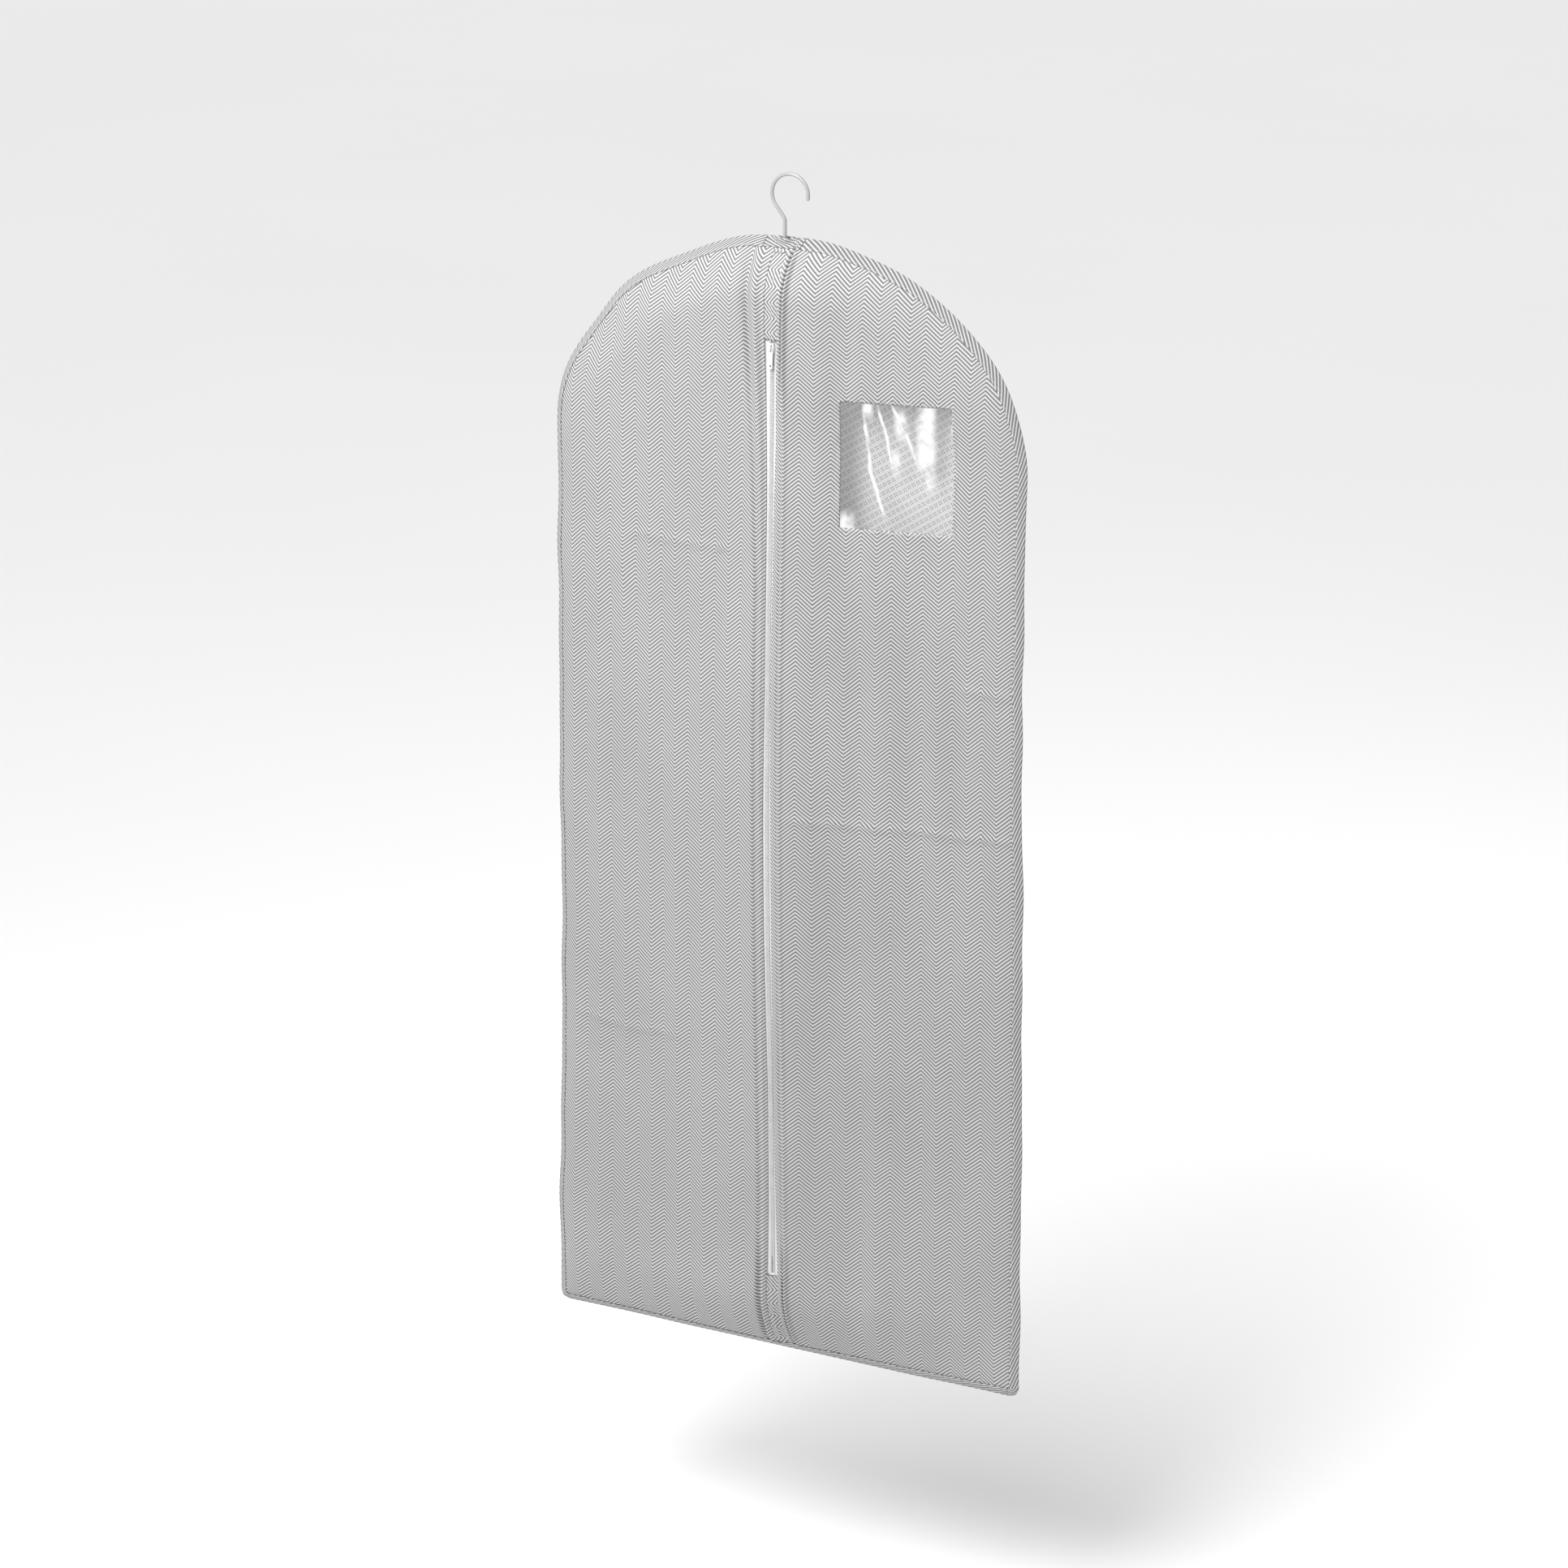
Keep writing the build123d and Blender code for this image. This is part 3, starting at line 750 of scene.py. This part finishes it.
# -------------------------------------------------------- the cloth panels
def half_columns():
    """X of a half panel's columns, close together beside the zip."""
    pleated = np.linspace(0, 0.030, 57)
    middle = np.linspace(0.030, shoulder_x, 15)[1:]
    turn = np.linspace(0, np.pi / 2, 46)[1:]
    outer = shoulder_x + (shoulder_radius - outline_gap) * np.sin(turn)
    return np.concatenate([pleated, middle, outer])


def half_grid(side):
    """Flat places of one front half, rows from the hem up."""
    columns = half_columns()
    rows = np.linspace(0, 1, 280)[:, None]
    low, high = foot(columns) + outline_gap, arch(columns) - outline_gap
    z = low + rows * (high - low)
    edge = opening_half(z)
    outer = half_width - outline_gap
    x = edge + columns * (outer - edge) / outer
    x = np.where(columns > shoulder_x, columns, x + (columns - x) * (columns / shoulder_x) ** 2)
    return side * x, z


def cut_window(mesh):
    """Opens the cloth along the window's four edges."""
    left, right, low, high = window_edges
    bm = bmesh.new()
    bm.from_mesh(mesh)
    cuts = (
        ((left, 0, 0), (1, 0, 0)),
        ((right, 0, 0), (1, 0, 0)),
        ((0, 0, low), (0, 0, 1)),
        ((0, 0, high), (0, 0, 1)),
    )
    margin = 0.015
    for point, normal in cuts:
        near = [
            f
            for f in bm.faces
            if left - margin < f.calc_center_median().x < right + margin
            and low - margin < f.calc_center_median().z < high + margin
        ]
        around = {e for f in near for e in f.edges} | {v for f in near for v in f.verts}
        geometry = near + list(around)
        bmesh.ops.bisect_plane(bm, geom=geometry, plane_co=point, plane_no=normal)
    inside = [
        f
        for f in bm.faces
        if left < f.calc_center_median().x < right
        and low < f.calc_center_median().z < high
    ]
    bmesh.ops.delete(bm, geom=inside, context="FACES")
    bm.to_mesh(mesh)
    bm.free()
    smooth_shade(mesh)


def make_front_half(side):
    label = side_names[side]
    name = f"front_{label}_cloth"
    x, z = half_grid(side)
    grid = (x, front_surface(x, z), z)
    finishes = [print_finish, lining_finish]
    cut = cut_window if side > 0 else None
    piece, area = make_sheet(name, grid, finishes, cloth_thickness, side < 0, cut)
    carry_on_lapel(piece, side)
    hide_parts(f"front_{label}_panel", f"{label}_lapel")


def make_back_cloth():
    columns = half_columns()
    columns = np.concatenate([-columns[:0:-1], columns])
    rows = np.linspace(0, 1, 260)[:, None]
    low, high = foot(columns) + outline_gap, arch(columns) - outline_gap
    z = low + rows * (high - low)
    x = np.broadcast_to(columns, z.shape)
    grid = (x, back_surface(x, z), z)
    finishes = [print_finish, lining_finish]
    piece, area = make_sheet("back_cloth", grid, finishes, cloth_thickness, turned=True)
    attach(piece, "bag")
    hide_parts("back_panel")


def make_tab(name, node, low, high):
    """The strip of cloth that fills the gap beyond one end of the zip."""
    columns = np.linspace(-tab_half, tab_half, 13)
    rows = np.linspace(low, high, 50)[:, None]
    x, z = np.broadcast_arrays(columns, rows)
    edge = opening_half(z)
    left, right = front_surface(-edge, z), front_surface(edge, z)
    share = np.clip((x + edge) / (2 * edge), 0, 1)
    y = np.minimum(left + (right - left) * share, front_surface(x, z))
    y = y + tab_depth + 0.0001 * drift(x / 0.02, z / 0.03, 71)
    piece = make_sheet(name, (x, y, z), [tab_finish, lining_finish], cloth_thickness)[0]
    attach(piece, "bag")
    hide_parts(node)


# ---------------------------------------------------------------- binding
def outline_path(start_x):
    """Points and inward directions along the right-hand edge."""
    points, inward = [], []

    def add_arc(cx, cz, radius, first, last, step):
        count = max(2, int(abs(last - first) * radius / step))
        for angle in np.linspace(first, last, count, endpoint=False):
            points.append((cx + radius * math.cos(angle), cz + radius * math.sin(angle)))
            inward.append((-math.cos(angle), -math.sin(angle)))

    join = math.atan2(join_z - spring, join_x - shoulder_x)
    add_arc(0, crown_z, crown_radius, math.acos(start_x / crown_radius), join, 0.004)
    add_arc(shoulder_x, spring, shoulder_radius, join, 0, 0.004)
    for z in np.linspace(spring, hem + corner_radius, 280, endpoint=False):
        points.append((half_width, z))
        inward.append((-1, 0))
    corner_x, corner_z = half_width - corner_radius, hem + corner_radius
    add_arc(corner_x, corner_z, corner_radius, 0, -math.pi / 2, 0.0012)
    points.append((corner_x, hem))
    inward.append((0, 1))
    return np.array(points), np.array(inward)


def sewn_edges(start_x):
    """The two side edges from the hook's gap down, and the hem."""
    points, inward = outline_path(start_x)
    mirror = np.array([-1.0, 1.0])
    return (points, inward), (points * mirror, inward * mirror), hem_path()


def hem_path():
    x = np.linspace(corner_radius - half_width, half_width - corner_radius, 150)
    points = np.stack([x, np.full_like(x, hem)], axis=1)
    inward = np.tile([0.0, 1.0], (len(x), 1))
    return points, inward


def leaf(face, widths, lift):
    """A run of binding: distances from the edge, and what it lies on."""
    return [(width, face, lift) for width in widths]


leaf_steps = (binding_width, 0.0086, 0.0070, 0.0045, 0.0022, 0.0004)
facing_steps = (0.0004, 0.0030, 0.0080, 0.0150)
front_leaf = leaf("front", leaf_steps, -1)
back_leaf = leaf("back", leaf_steps[::-1], 1)
fold_over = [(-0.0009, "seam", -0.8), (-0.0014, "seam", 0.0), (-0.0009, "seam", 0.8)]
binding_section = front_leaf + fold_over + back_leaf


def sweep_leaves(name, points, inward, section, seed):
    """Lays a folded tape along an edge of the bag."""
    steps = np.linalg.norm(np.diff(points, axis=0), axis=1)
    run = np.concatenate([[0], np.cumsum(steps)])
    columns, across, total = [], [], 0.0
    for place, (width, face, lift) in enumerate(section):
        uneven = width + 0.0004 * drift(run / 0.05, width / 0.02, seed) * (width > 0.008)
        spot = points + inward * uneven[:, None]
        x, z = spot[:, 0], spot[:, 1]
        # the leaf's free edge lies tighter on the cloth than the rest of it
        stand = binding_lift * (0.55 if width > 0.0088 else 1.0)
        stand = stand + 0.00022 * drift(run / 0.009, width / 0.01, seed + 1)
        if face == "front":
            y = front_surface(x, z) - stand
        elif face == "inside":
            y = front_surface(x, z) + cloth_thickness + lift * 0.0006
        elif face == "back":
            y = back_surface(x, z) + stand
        elif face == "outside":
            y = back_surface(x, z) - cloth_thickness - lift * 0.0006
        elif face == "front_fold":
            y = front_surface(points[:, 0], points[:, 1]) + lift * 0.0006
        elif face == "back_fold":
            y = back_surface(points[:, 0], points[:, 1]) + lift * 0.0006
        else:
            y = seam_y + lift * 0.0013 + 0.0 * x
        columns.append(np.stack([x, y, z], axis=1))
        if place:
            total += np.linalg.norm(columns[-1] - columns[-2], axis=1).mean()
        across.append(total)
    grid = np.stack(columns, axis=1)
    cloth = np.broadcast_arrays(run[:, None], np.array(across)[None, :])
    mesh = woven_mesh(name, grid, np.stack(cloth, axis=-1))
    piece = new_object(name, mesh, [bias_finish])
    face_outward(piece, points, inward)
    settle_piece(piece)
    return thicken(piece, binding_thickness)


def face_outward(piece, points, inward):
    """Turns the tape over if its fold looks into the bag."""
    mesh = piece.data
    away = Vector((-inward[0][0], 0, -inward[0][1]))
    edge = Vector((points[0][0], 0, points[0][1]))
    outside = edge + 0.001 * away
    nearest = min(
        mesh.polygons, key=lambda p: (Vector((p.center.x, 0, p.center.z)) - outside).length
    )
    if nearest.normal.dot(away) < 0:
        mesh.flip_normals()


def make_bindings():
    named = (("edge_binding_right", 81), ("edge_binding_left", 79), ("hem_binding", 90))
    for (node, seed), edge in zip(named, sewn_edges(eye_half + 0.0005)):
        piece = sweep_leaves(node + "_tape", *edge, binding_section, seed)
        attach(piece, "bag")
        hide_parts(node)


def make_eye_lips():
    """The faced edges of the gap that the hook comes out of."""
    x = np.linspace(-eye_half, eye_half, 40)
    z = arch(x)
    points = np.stack([x, z], axis=1)
    inward = np.stack([-x / crown_radius, -(z - crown_z) / crown_radius], axis=1)
    front = front_leaf + [(-0.0008, "front_fold", -0.8), (-0.0011, "front_fold", 0.6)]
    front += leaf("inside", facing_steps, 1)
    back = leaf("outside", facing_steps[::-1], 1)
    back += [(-0.0011, "back_fold", -0.6), (-0.0008, "back_fold", 0.8)]
    back += back_leaf
    for name, section, node in (
        ("eye_front_hem", front, "eye_front_lip"),
        ("eye_back_hem", back, "eye_back_lip"),
    ):
        piece = sweep_leaves(name, points, inward, section, 95)
        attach(piece, "bag")
        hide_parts(node)


# ---------------------------------------------------------------- window
def make_film():
    """The clear sheet behind the window, with soft creases."""
    columns = np.linspace(film_left, film_right, 61)
    rows = np.linspace(film_foot, film_top, 67)[:, None]
    x, z = np.broadcast_arrays(columns, rows)
    inner = np.minimum(
        np.minimum(x - film_left, film_right - x), np.minimum(z - film_foot, film_top - z)
    )
    loose = ease((inner - film_border) / 0.025)
    across = (x - film_left) / (film_right - film_left)
    up = (z - film_foot) / (film_top - film_foot)
    ridges = 0.0
    for start, slope, bend, width, low, high, strength in film_creases:
        line = start + slope * up + bend * up * up
        shown = ease((up - low) / 0.12) * ease((high - up) / 0.12)
        ridges = ridges + 0.0016 * strength * shown * bell((across - line) / width / 1.3)
    right_dent = 0.0022 * bell((across - 0.79 - 0.07 * up) / 0.028)
    left_dent = 0.0016 * bell((across - 0.36 + 0.10 * up) / 0.045) * (1 - up)
    dents = right_dent + left_dent
    y = front_surface(x, z) + cloth_thickness + film_gap
    y = y - loose * (ridges - dents + 0.0007 * drift(x / 0.03, z / 0.05, 101))
    piece = make_sheet("window_clear_film", (x, y, z), [film_finish], film_thickness)[0]
    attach(piece, "bag")
    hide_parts("window_film")


# --------------------------------------------------------- geometry nodes
class Maker:
    """A Geometry Nodes tree with named inputs, and one way to add nodes."""

    def __init__(self, name, inputs):
        self.tree = bpy.data.node_groups.new(name, "GeometryNodeTree")
        face = self.tree.interface
        self.names = {}
        face.new_socket("Geometry", in_out="INPUT", socket_type="NodeSocketGeometry")
        for label, kind in inputs.items():
            socket = face.new_socket(label, in_out="INPUT", socket_type="NodeSocket" + kind)
            self.names[label] = socket.identifier
        face.new_socket("Geometry", in_out="OUTPUT", socket_type="NodeSocketGeometry")
        self.group = self.tree.nodes.new("NodeGroupInput")

    def given(self, label):
        return self.group.outputs[label]

    def node(self, kind, settings=None, out=0, **named):
        made = self.tree.nodes.new(kind)
        for key, value in (settings or {}).items():
            setattr(made, key, value)
        for name, value in named.items():
            socket = made.inputs[name.replace("_", " ")]
            if isinstance(value, bpy.types.NodeSocket):
                self.tree.links.new(value, socket)
            else:
                socket.default_value = value
        return made.outputs[out]

    def circle(self, sides, radius):
        return self.node(
            "GeometryNodeCurvePrimitiveCircle",
            {"mode": "RADIUS"},
            Resolution=sides,
            Radius=radius,
        )

    def close(self, geometry):
        """Ends the tree in real geometry that has its finish."""
        real = self.node("GeometryNodeRealizeInstances", Geometry=geometry)
        finish = self.given("Finish")
        done = self.node("GeometryNodeSetMaterial", Geometry=real, Material=finish)
        out = self.tree.nodes.new("NodeGroupOutput")
        self.tree.links.new(done, out.inputs[0])

    def apply(self, piece, **values):
        """Runs the tree on a piece and leaves a plain mesh."""
        modifier = piece.modifiers.new("made", "NODES")
        modifier.node_group = self.tree
        for label, value in values.items():
            modifier[self.names[label.replace("_", " ")]] = value
        return make_real(piece)


def coil_maker():
    """One side of a coil: flattened turns, evenly spaced up the zip."""
    maker = Maker(
        "coil",
        {
            "Start": "Vector",
            "Pitch": "Float",
            "Turns": "Int",
            "Reach": "Vector",
            "Wire": "Float",
            "Finish": "Material",
        },
    )
    step = maker.node("ShaderNodeCombineXYZ", Z=maker.given("Pitch"))
    line = maker.node(
        "GeometryNodeMeshLine",
        {"mode": "OFFSET", "count_mode": "TOTAL"},
        Count=maker.given("Turns"),
        Start_Location=maker.given("Start"),
        Offset=step,
    )
    ring = maker.circle(9, 1.0)
    flat = maker.node("GeometryNodeTransform", Geometry=ring, Scale=maker.given("Reach"))
    wire = maker.circle(5, maker.given("Wire"))
    turn = maker.node("GeometryNodeCurveToMesh", Curve=flat, Profile_Curve=wire)
    turns = maker.node("GeometryNodeInstanceOnPoints", Points=line, Instance=turn)
    maker.close(turns)
    return maker


def stitch_maker():
    """A row of short plump stitches along a curve."""
    maker = Maker("stitches", {"Pitch": "Float", "Stitch": "Vector", "Finish": "Material"})
    spaced = maker.node(
        "GeometryNodeResampleCurve",
        {"mode": "LENGTH"},
        Curve=maker.group.outputs[0],
        Length=maker.given("Pitch"),
    )
    heading = maker.node("GeometryNodeInputTangent")
    turned = maker.node("FunctionNodeAlignRotationToVector", {"axis": "X"}, Vector=heading)
    bead = maker.node("GeometryNodeMeshIcoSphere", Radius=1.0, Subdivisions=2)
    row = maker.node(
        "GeometryNodeInstanceOnPoints",
        Points=spaced,
        Instance=bead,
        Rotation=turned,
        Scale=maker.given("Stitch"),
    )
    maker.close(row)
    return maker


def thread_maker():
    """A continuous round thread along a curve."""
    maker = Maker("thread", {"Thread": "Float", "Finish": "Material"})
    round_wire = maker.circle(5, maker.given("Thread"))
    tube = maker.node(
        "GeometryNodeCurveToMesh",
        Curve=maker.group.outputs[0],
        Profile_Curve=round_wire,
        Fill_Caps=True,
    )
    maker.close(tube)
    return maker


def curve_through(name, points, closed=False):
    """A curve of straight steps, which stitches and threads follow."""
    curve = bpy.data.curves.new(name, "CURVE")
    curve.dimensions = "3D"
    spline = curve.splines.new("POLY")
    spline.points.add(len(points) - 1)
    flat = np.concatenate([points, np.ones((len(points), 1))], axis=1)
    spline.points.foreach_set("co", flat.ravel())
    spline.use_cyclic_u = closed
    return new_object(name, curve, [])


coils = coil_maker()
stitches = stitch_maker()
threads = thread_maker()


# -------------------------------------------------------------------- zip
coil_pitch = 0.00155
coil_wire = 0.00033
coil_overlap = 0.00045     # of the turns past the zip's middle
post_clearance = 0.0006    # from the zip's middle to the turns beside the post


def part_coil(piece, side):
    """Draws the turns aside at both ends, where the slider's post stands."""
    points = read_points(piece.data)
    z = points[:, 2]
    joined = ease((z - opened_slider_top - 0.003) / 0.010)
    joined = joined * ease((slider_foot - 0.003 - z) / 0.010)
    squeeze = (coil_outer - post_clearance) / (coil_outer + coil_overlap)
    across = coil_outer - side * points[:, 0]
    points[:, 0] = side * (coil_outer - across * (squeeze + (1 - squeeze) * joined))
    write_points(piece.data, points)


def make_coil(side):
    name = f"zip_coil_turns_{side_names[side]}"
    centre = side * (coil_outer - coil_overlap) / 2
    reach_x = (coil_outer + coil_overlap) / 2 - coil_wire
    depth = (tape_face_y - coil_front_y) / 2
    foot_z = reach("zip_bottom_stop", "z")[1] + coil_pitch
    top_z = reach("zip_top_stops", "z")[0] - coil_pitch
    count = int((top_z - foot_z) / coil_pitch)
    lag = coil_pitch / 2 if side > 0 else 0.0
    piece = new_object(name, bpy.data.meshes.new(name), [])
    piece = coils.apply(
        piece,
        Start=(centre, coil_front_y + depth, foot_z + lag),
        Pitch=coil_pitch,
        Turns=count,
        Reach=(reach_x, depth - coil_wire, 1.0),
        Wire=coil_wire,
        Finish=coil_finish,
    )
    smooth_shade(piece.data)
    part_coil(piece, side)
    settle_piece(piece)
    carry_on_lapel(piece, side)
    node = f"zip_coil_{side_names[side]}"
    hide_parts(node, "zip_coil_top_ends", "zip_coil_bottom_ends")


def make_tape(side):
    name = f"zip_tape_cloth_{side_names[side]}"
    columns = side * np.linspace(0.0008, tape_outer, 14)
    rows = np.linspace(zip_foot, zip_top, 290)[:, None]
    x, z = np.broadcast_arrays(columns, rows)
    cord = 0.0003 * bell((np.abs(x) - coil_outer - 0.0004) / 0.0005)
    y = tape_face_y - cord + 0.00012 * drift(x / 0.006, z / 0.012, 131)
    piece = make_sheet(name, (x, y, z), [tape_finish], tape_thickness, side < 0)[0]
    carry_on_lapel(piece, side)
    node = f"zip_tape_{side_names[side]}"
    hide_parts(node, "zip_tape_top_ends", "zip_tape_bottom_ends")


# --------------------------------------------------------------- stitching
edge_stitch = (0.00115, 0.00022, 0.00022)
edge_pitch = 0.0031
edge_inset = 0.0068        # of the row from the outline
zip_stitch = (0.00085, 0.00013, 0.00016)
zip_pitch = 0.0029
zip_inset = 0.0022         # of the row from the cloth's edge beside the zip


def sewn_row(name, points, pitch, stitch, side=0):
    """Stitches along a path of laid-out points."""
    path = curve_through(name, settle(points))
    piece = stitches.apply(path, Pitch=pitch, Stitch=stitch, Finish=thread_finish)
    smooth_shade(piece.data)
    if side:
        carry_on_lapel(piece, side)
    else:
        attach(piece, "bag")


def make_edge_stitches():
    """One row along each binding, and one beside the zip on each panel."""
    labels = ("binding_stitches_right", "binding_stitches_left", "hem_stitches")
    for label, (points, inward) in zip(labels, sewn_edges(eye_half + 0.004)):
        x, z = (points + inward * edge_inset).T
        for face, surface, lift in (("front", front_surface, -1), ("back", back_surface, 1)):
            y = surface(x, z) + lift * (binding_lift + 0.0001)
            row = np.stack([x, y, z], axis=1)
            sewn_row(f"{label}_{face}", row, edge_pitch, edge_stitch)
    z = np.linspace(hem + 0.012, apex - 0.012, 500)
    for side, label in side_names.items():
        x = side * (opening_half(z) + zip_inset)
        row = np.stack([x, front_surface(x, z) - 0.00005, z], axis=1)
        sewn_row(f"zip_stitches_{label}", row, zip_pitch, zip_stitch, side)


def make_window_stitches():
    """A zigzag of thread over the window's edge."""
    left, right, low, high = window_edges
    outer = left - thread_left
    step, zigzag_thread = 0.0021, 0.00028
    corners = [(left, low), (right, low), (right, high), (left, high)]
    outward = [(0, -1), (1, 0), (0, 1), (-1, 0)]
    rng = np.random.default_rng(7)
    points = []
    for place, (x0, z0) in enumerate(corners):
        x1, z1 = corners[(place + 1) % 4]
        count = 2 * int(math.hypot(x1 - x0, z1 - z0) / step / 2)
        for index in range(count):
            share = (index + rng.uniform(-0.2, 0.2)) / count
            off = outer * rng.uniform(0.8, 1.0) if index % 2 else 0.0007
            x = x0 + (x1 - x0) * share + outward[place][0] * off
            z = z0 + (z1 - z0) * share + outward[place][1] * off
            dip = 0.0 if index % 2 else 0.0001
            points.append((x, dip, z))
    spots = np.array(points)
    spots[:, 1] += front_surface(spots[:, 0], spots[:, 2]) - 0.0001
    path = curve_through("window_zigzag", settle(spots), closed=True)
    piece = threads.apply(path, Thread=zigzag_thread, Finish=thread_finish)
    smooth_shade(piece.data)
    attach(piece, "bag")
    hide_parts("window_stitching")


# ------------------------------------------------- hard parts from the CAD
def finish_hard_parts():
    enamelled = ("zip_slider", "slider_bail", "zip_pull", "zip_top_stops", "zip_bottom_stop")
    looks = dict.fromkeys(enamelled, enamel_finish) | {
        "hook": wire_finish,
        "hook_stop": rivet_finish,
        "hanger_arms": hanger_finish,
        "trouser_bar": hanger_finish,
        "hanger_bush": bush_finish,
    }
    for node, finish in looks.items():
        slots = frame["nodes"][node].material_slots
        for place in range(len(slots)):
            slots[place].material = finish


# ------------------------------------------------------------------- stage
def make_floor():
    mesh = bpy.data.meshes.new("floor")
    size, level = 40.0, hem - 0.32
    mesh.from_pydata(
        [(-size, -size, level), (size, -size, level), (size, size, level), (-size, size, level)],
        [],
        [(0, 1, 2, 3)],
    )
    f = Finish("floor")
    patchy = f.noise(f.place(), 0.8, 3.0)
    colour = f.mix(patchy, (0.90, 0.90, 0.90, 1), (0.93, 0.93, 0.93, 1))
    finish = f.done(f.coat(Base_Color=colour, Roughness=0.9))
    new_object("floor", mesh, [finish])


def add_aimed(name, data, heading):
    """Adds a camera or a light that looks along a heading."""
    made = new_object(name, data, [])
    made.rotation_euler = Vector(heading).to_track_quat("-Z", "Y").to_euler()
    return made


def make_camera():
    turn, tilt, distance = math.radians(26.17), math.radians(18.15), 5.5
    target = Vector((-0.0011, 0.0, apex - 0.6501))    # a little above mid height
    back = Vector(
        (math.sin(turn) * math.cos(tilt), -math.cos(turn) * math.cos(tilt), math.sin(tilt))
    )
    lens = bpy.data.cameras.new("camera")
    lens.lens = 108.24
    lens.sensor_width = 36.0
    camera = add_aimed("camera", lens, -back)
    camera.location = target + back * distance
    bpy.context.scene.camera = camera


def add_area_light(name, place, target, size, power):
    light = bpy.data.lights.new(name, "AREA")
    light.shape = "DISK"
    light.size = size
    light.energy = power
    add_aimed(name, light, Vector(target) - Vector(place)).location = place


def make_light():
    scene = bpy.context.scene
    scene.view_settings.view_transform = "Standard"
    world = bpy.data.worlds.new("studio")
    scene.world = world
    world.use_nodes = True
    sky = world.node_tree.nodes["Background"]
    sky.inputs["Color"].default_value = (1, 1, 1, 1)
    sky.inputs["Strength"].default_value = 0.39
    middle = (0, 0, (apex + hem) / 2)
    upper = (0, 0, apex - 0.1)
    add_area_light("key", (-0.25, -1.8, 1.15), upper, size=1.3, power=57)
    add_area_light("back_fill", (1.2, 2.6, 0.8), middle, size=1.8, power=22)
    daylight = bpy.data.lights.new("daylight", "SUN")
    daylight.energy = 1.85
    daylight.angle = math.radians(50)
    add_aimed("daylight", daylight, (0.25, 0.45, -1.0))


make_camera()
make_light()
make_floor()
make_front_half(1)
make_front_half(-1)
make_back_cloth()
make_tab("top_tab_cloth", "top_tab", zip_top, apex - 0.001)
make_tab("bottom_tab_cloth", "bottom_tab", hem + 0.001, zip_foot)
make_bindings()
make_eye_lips()
make_film()
make_coil(1)
make_coil(-1)
make_tape(1)
make_tape(-1)
make_edge_stitches()
make_window_stitches()
finish_hard_parts()
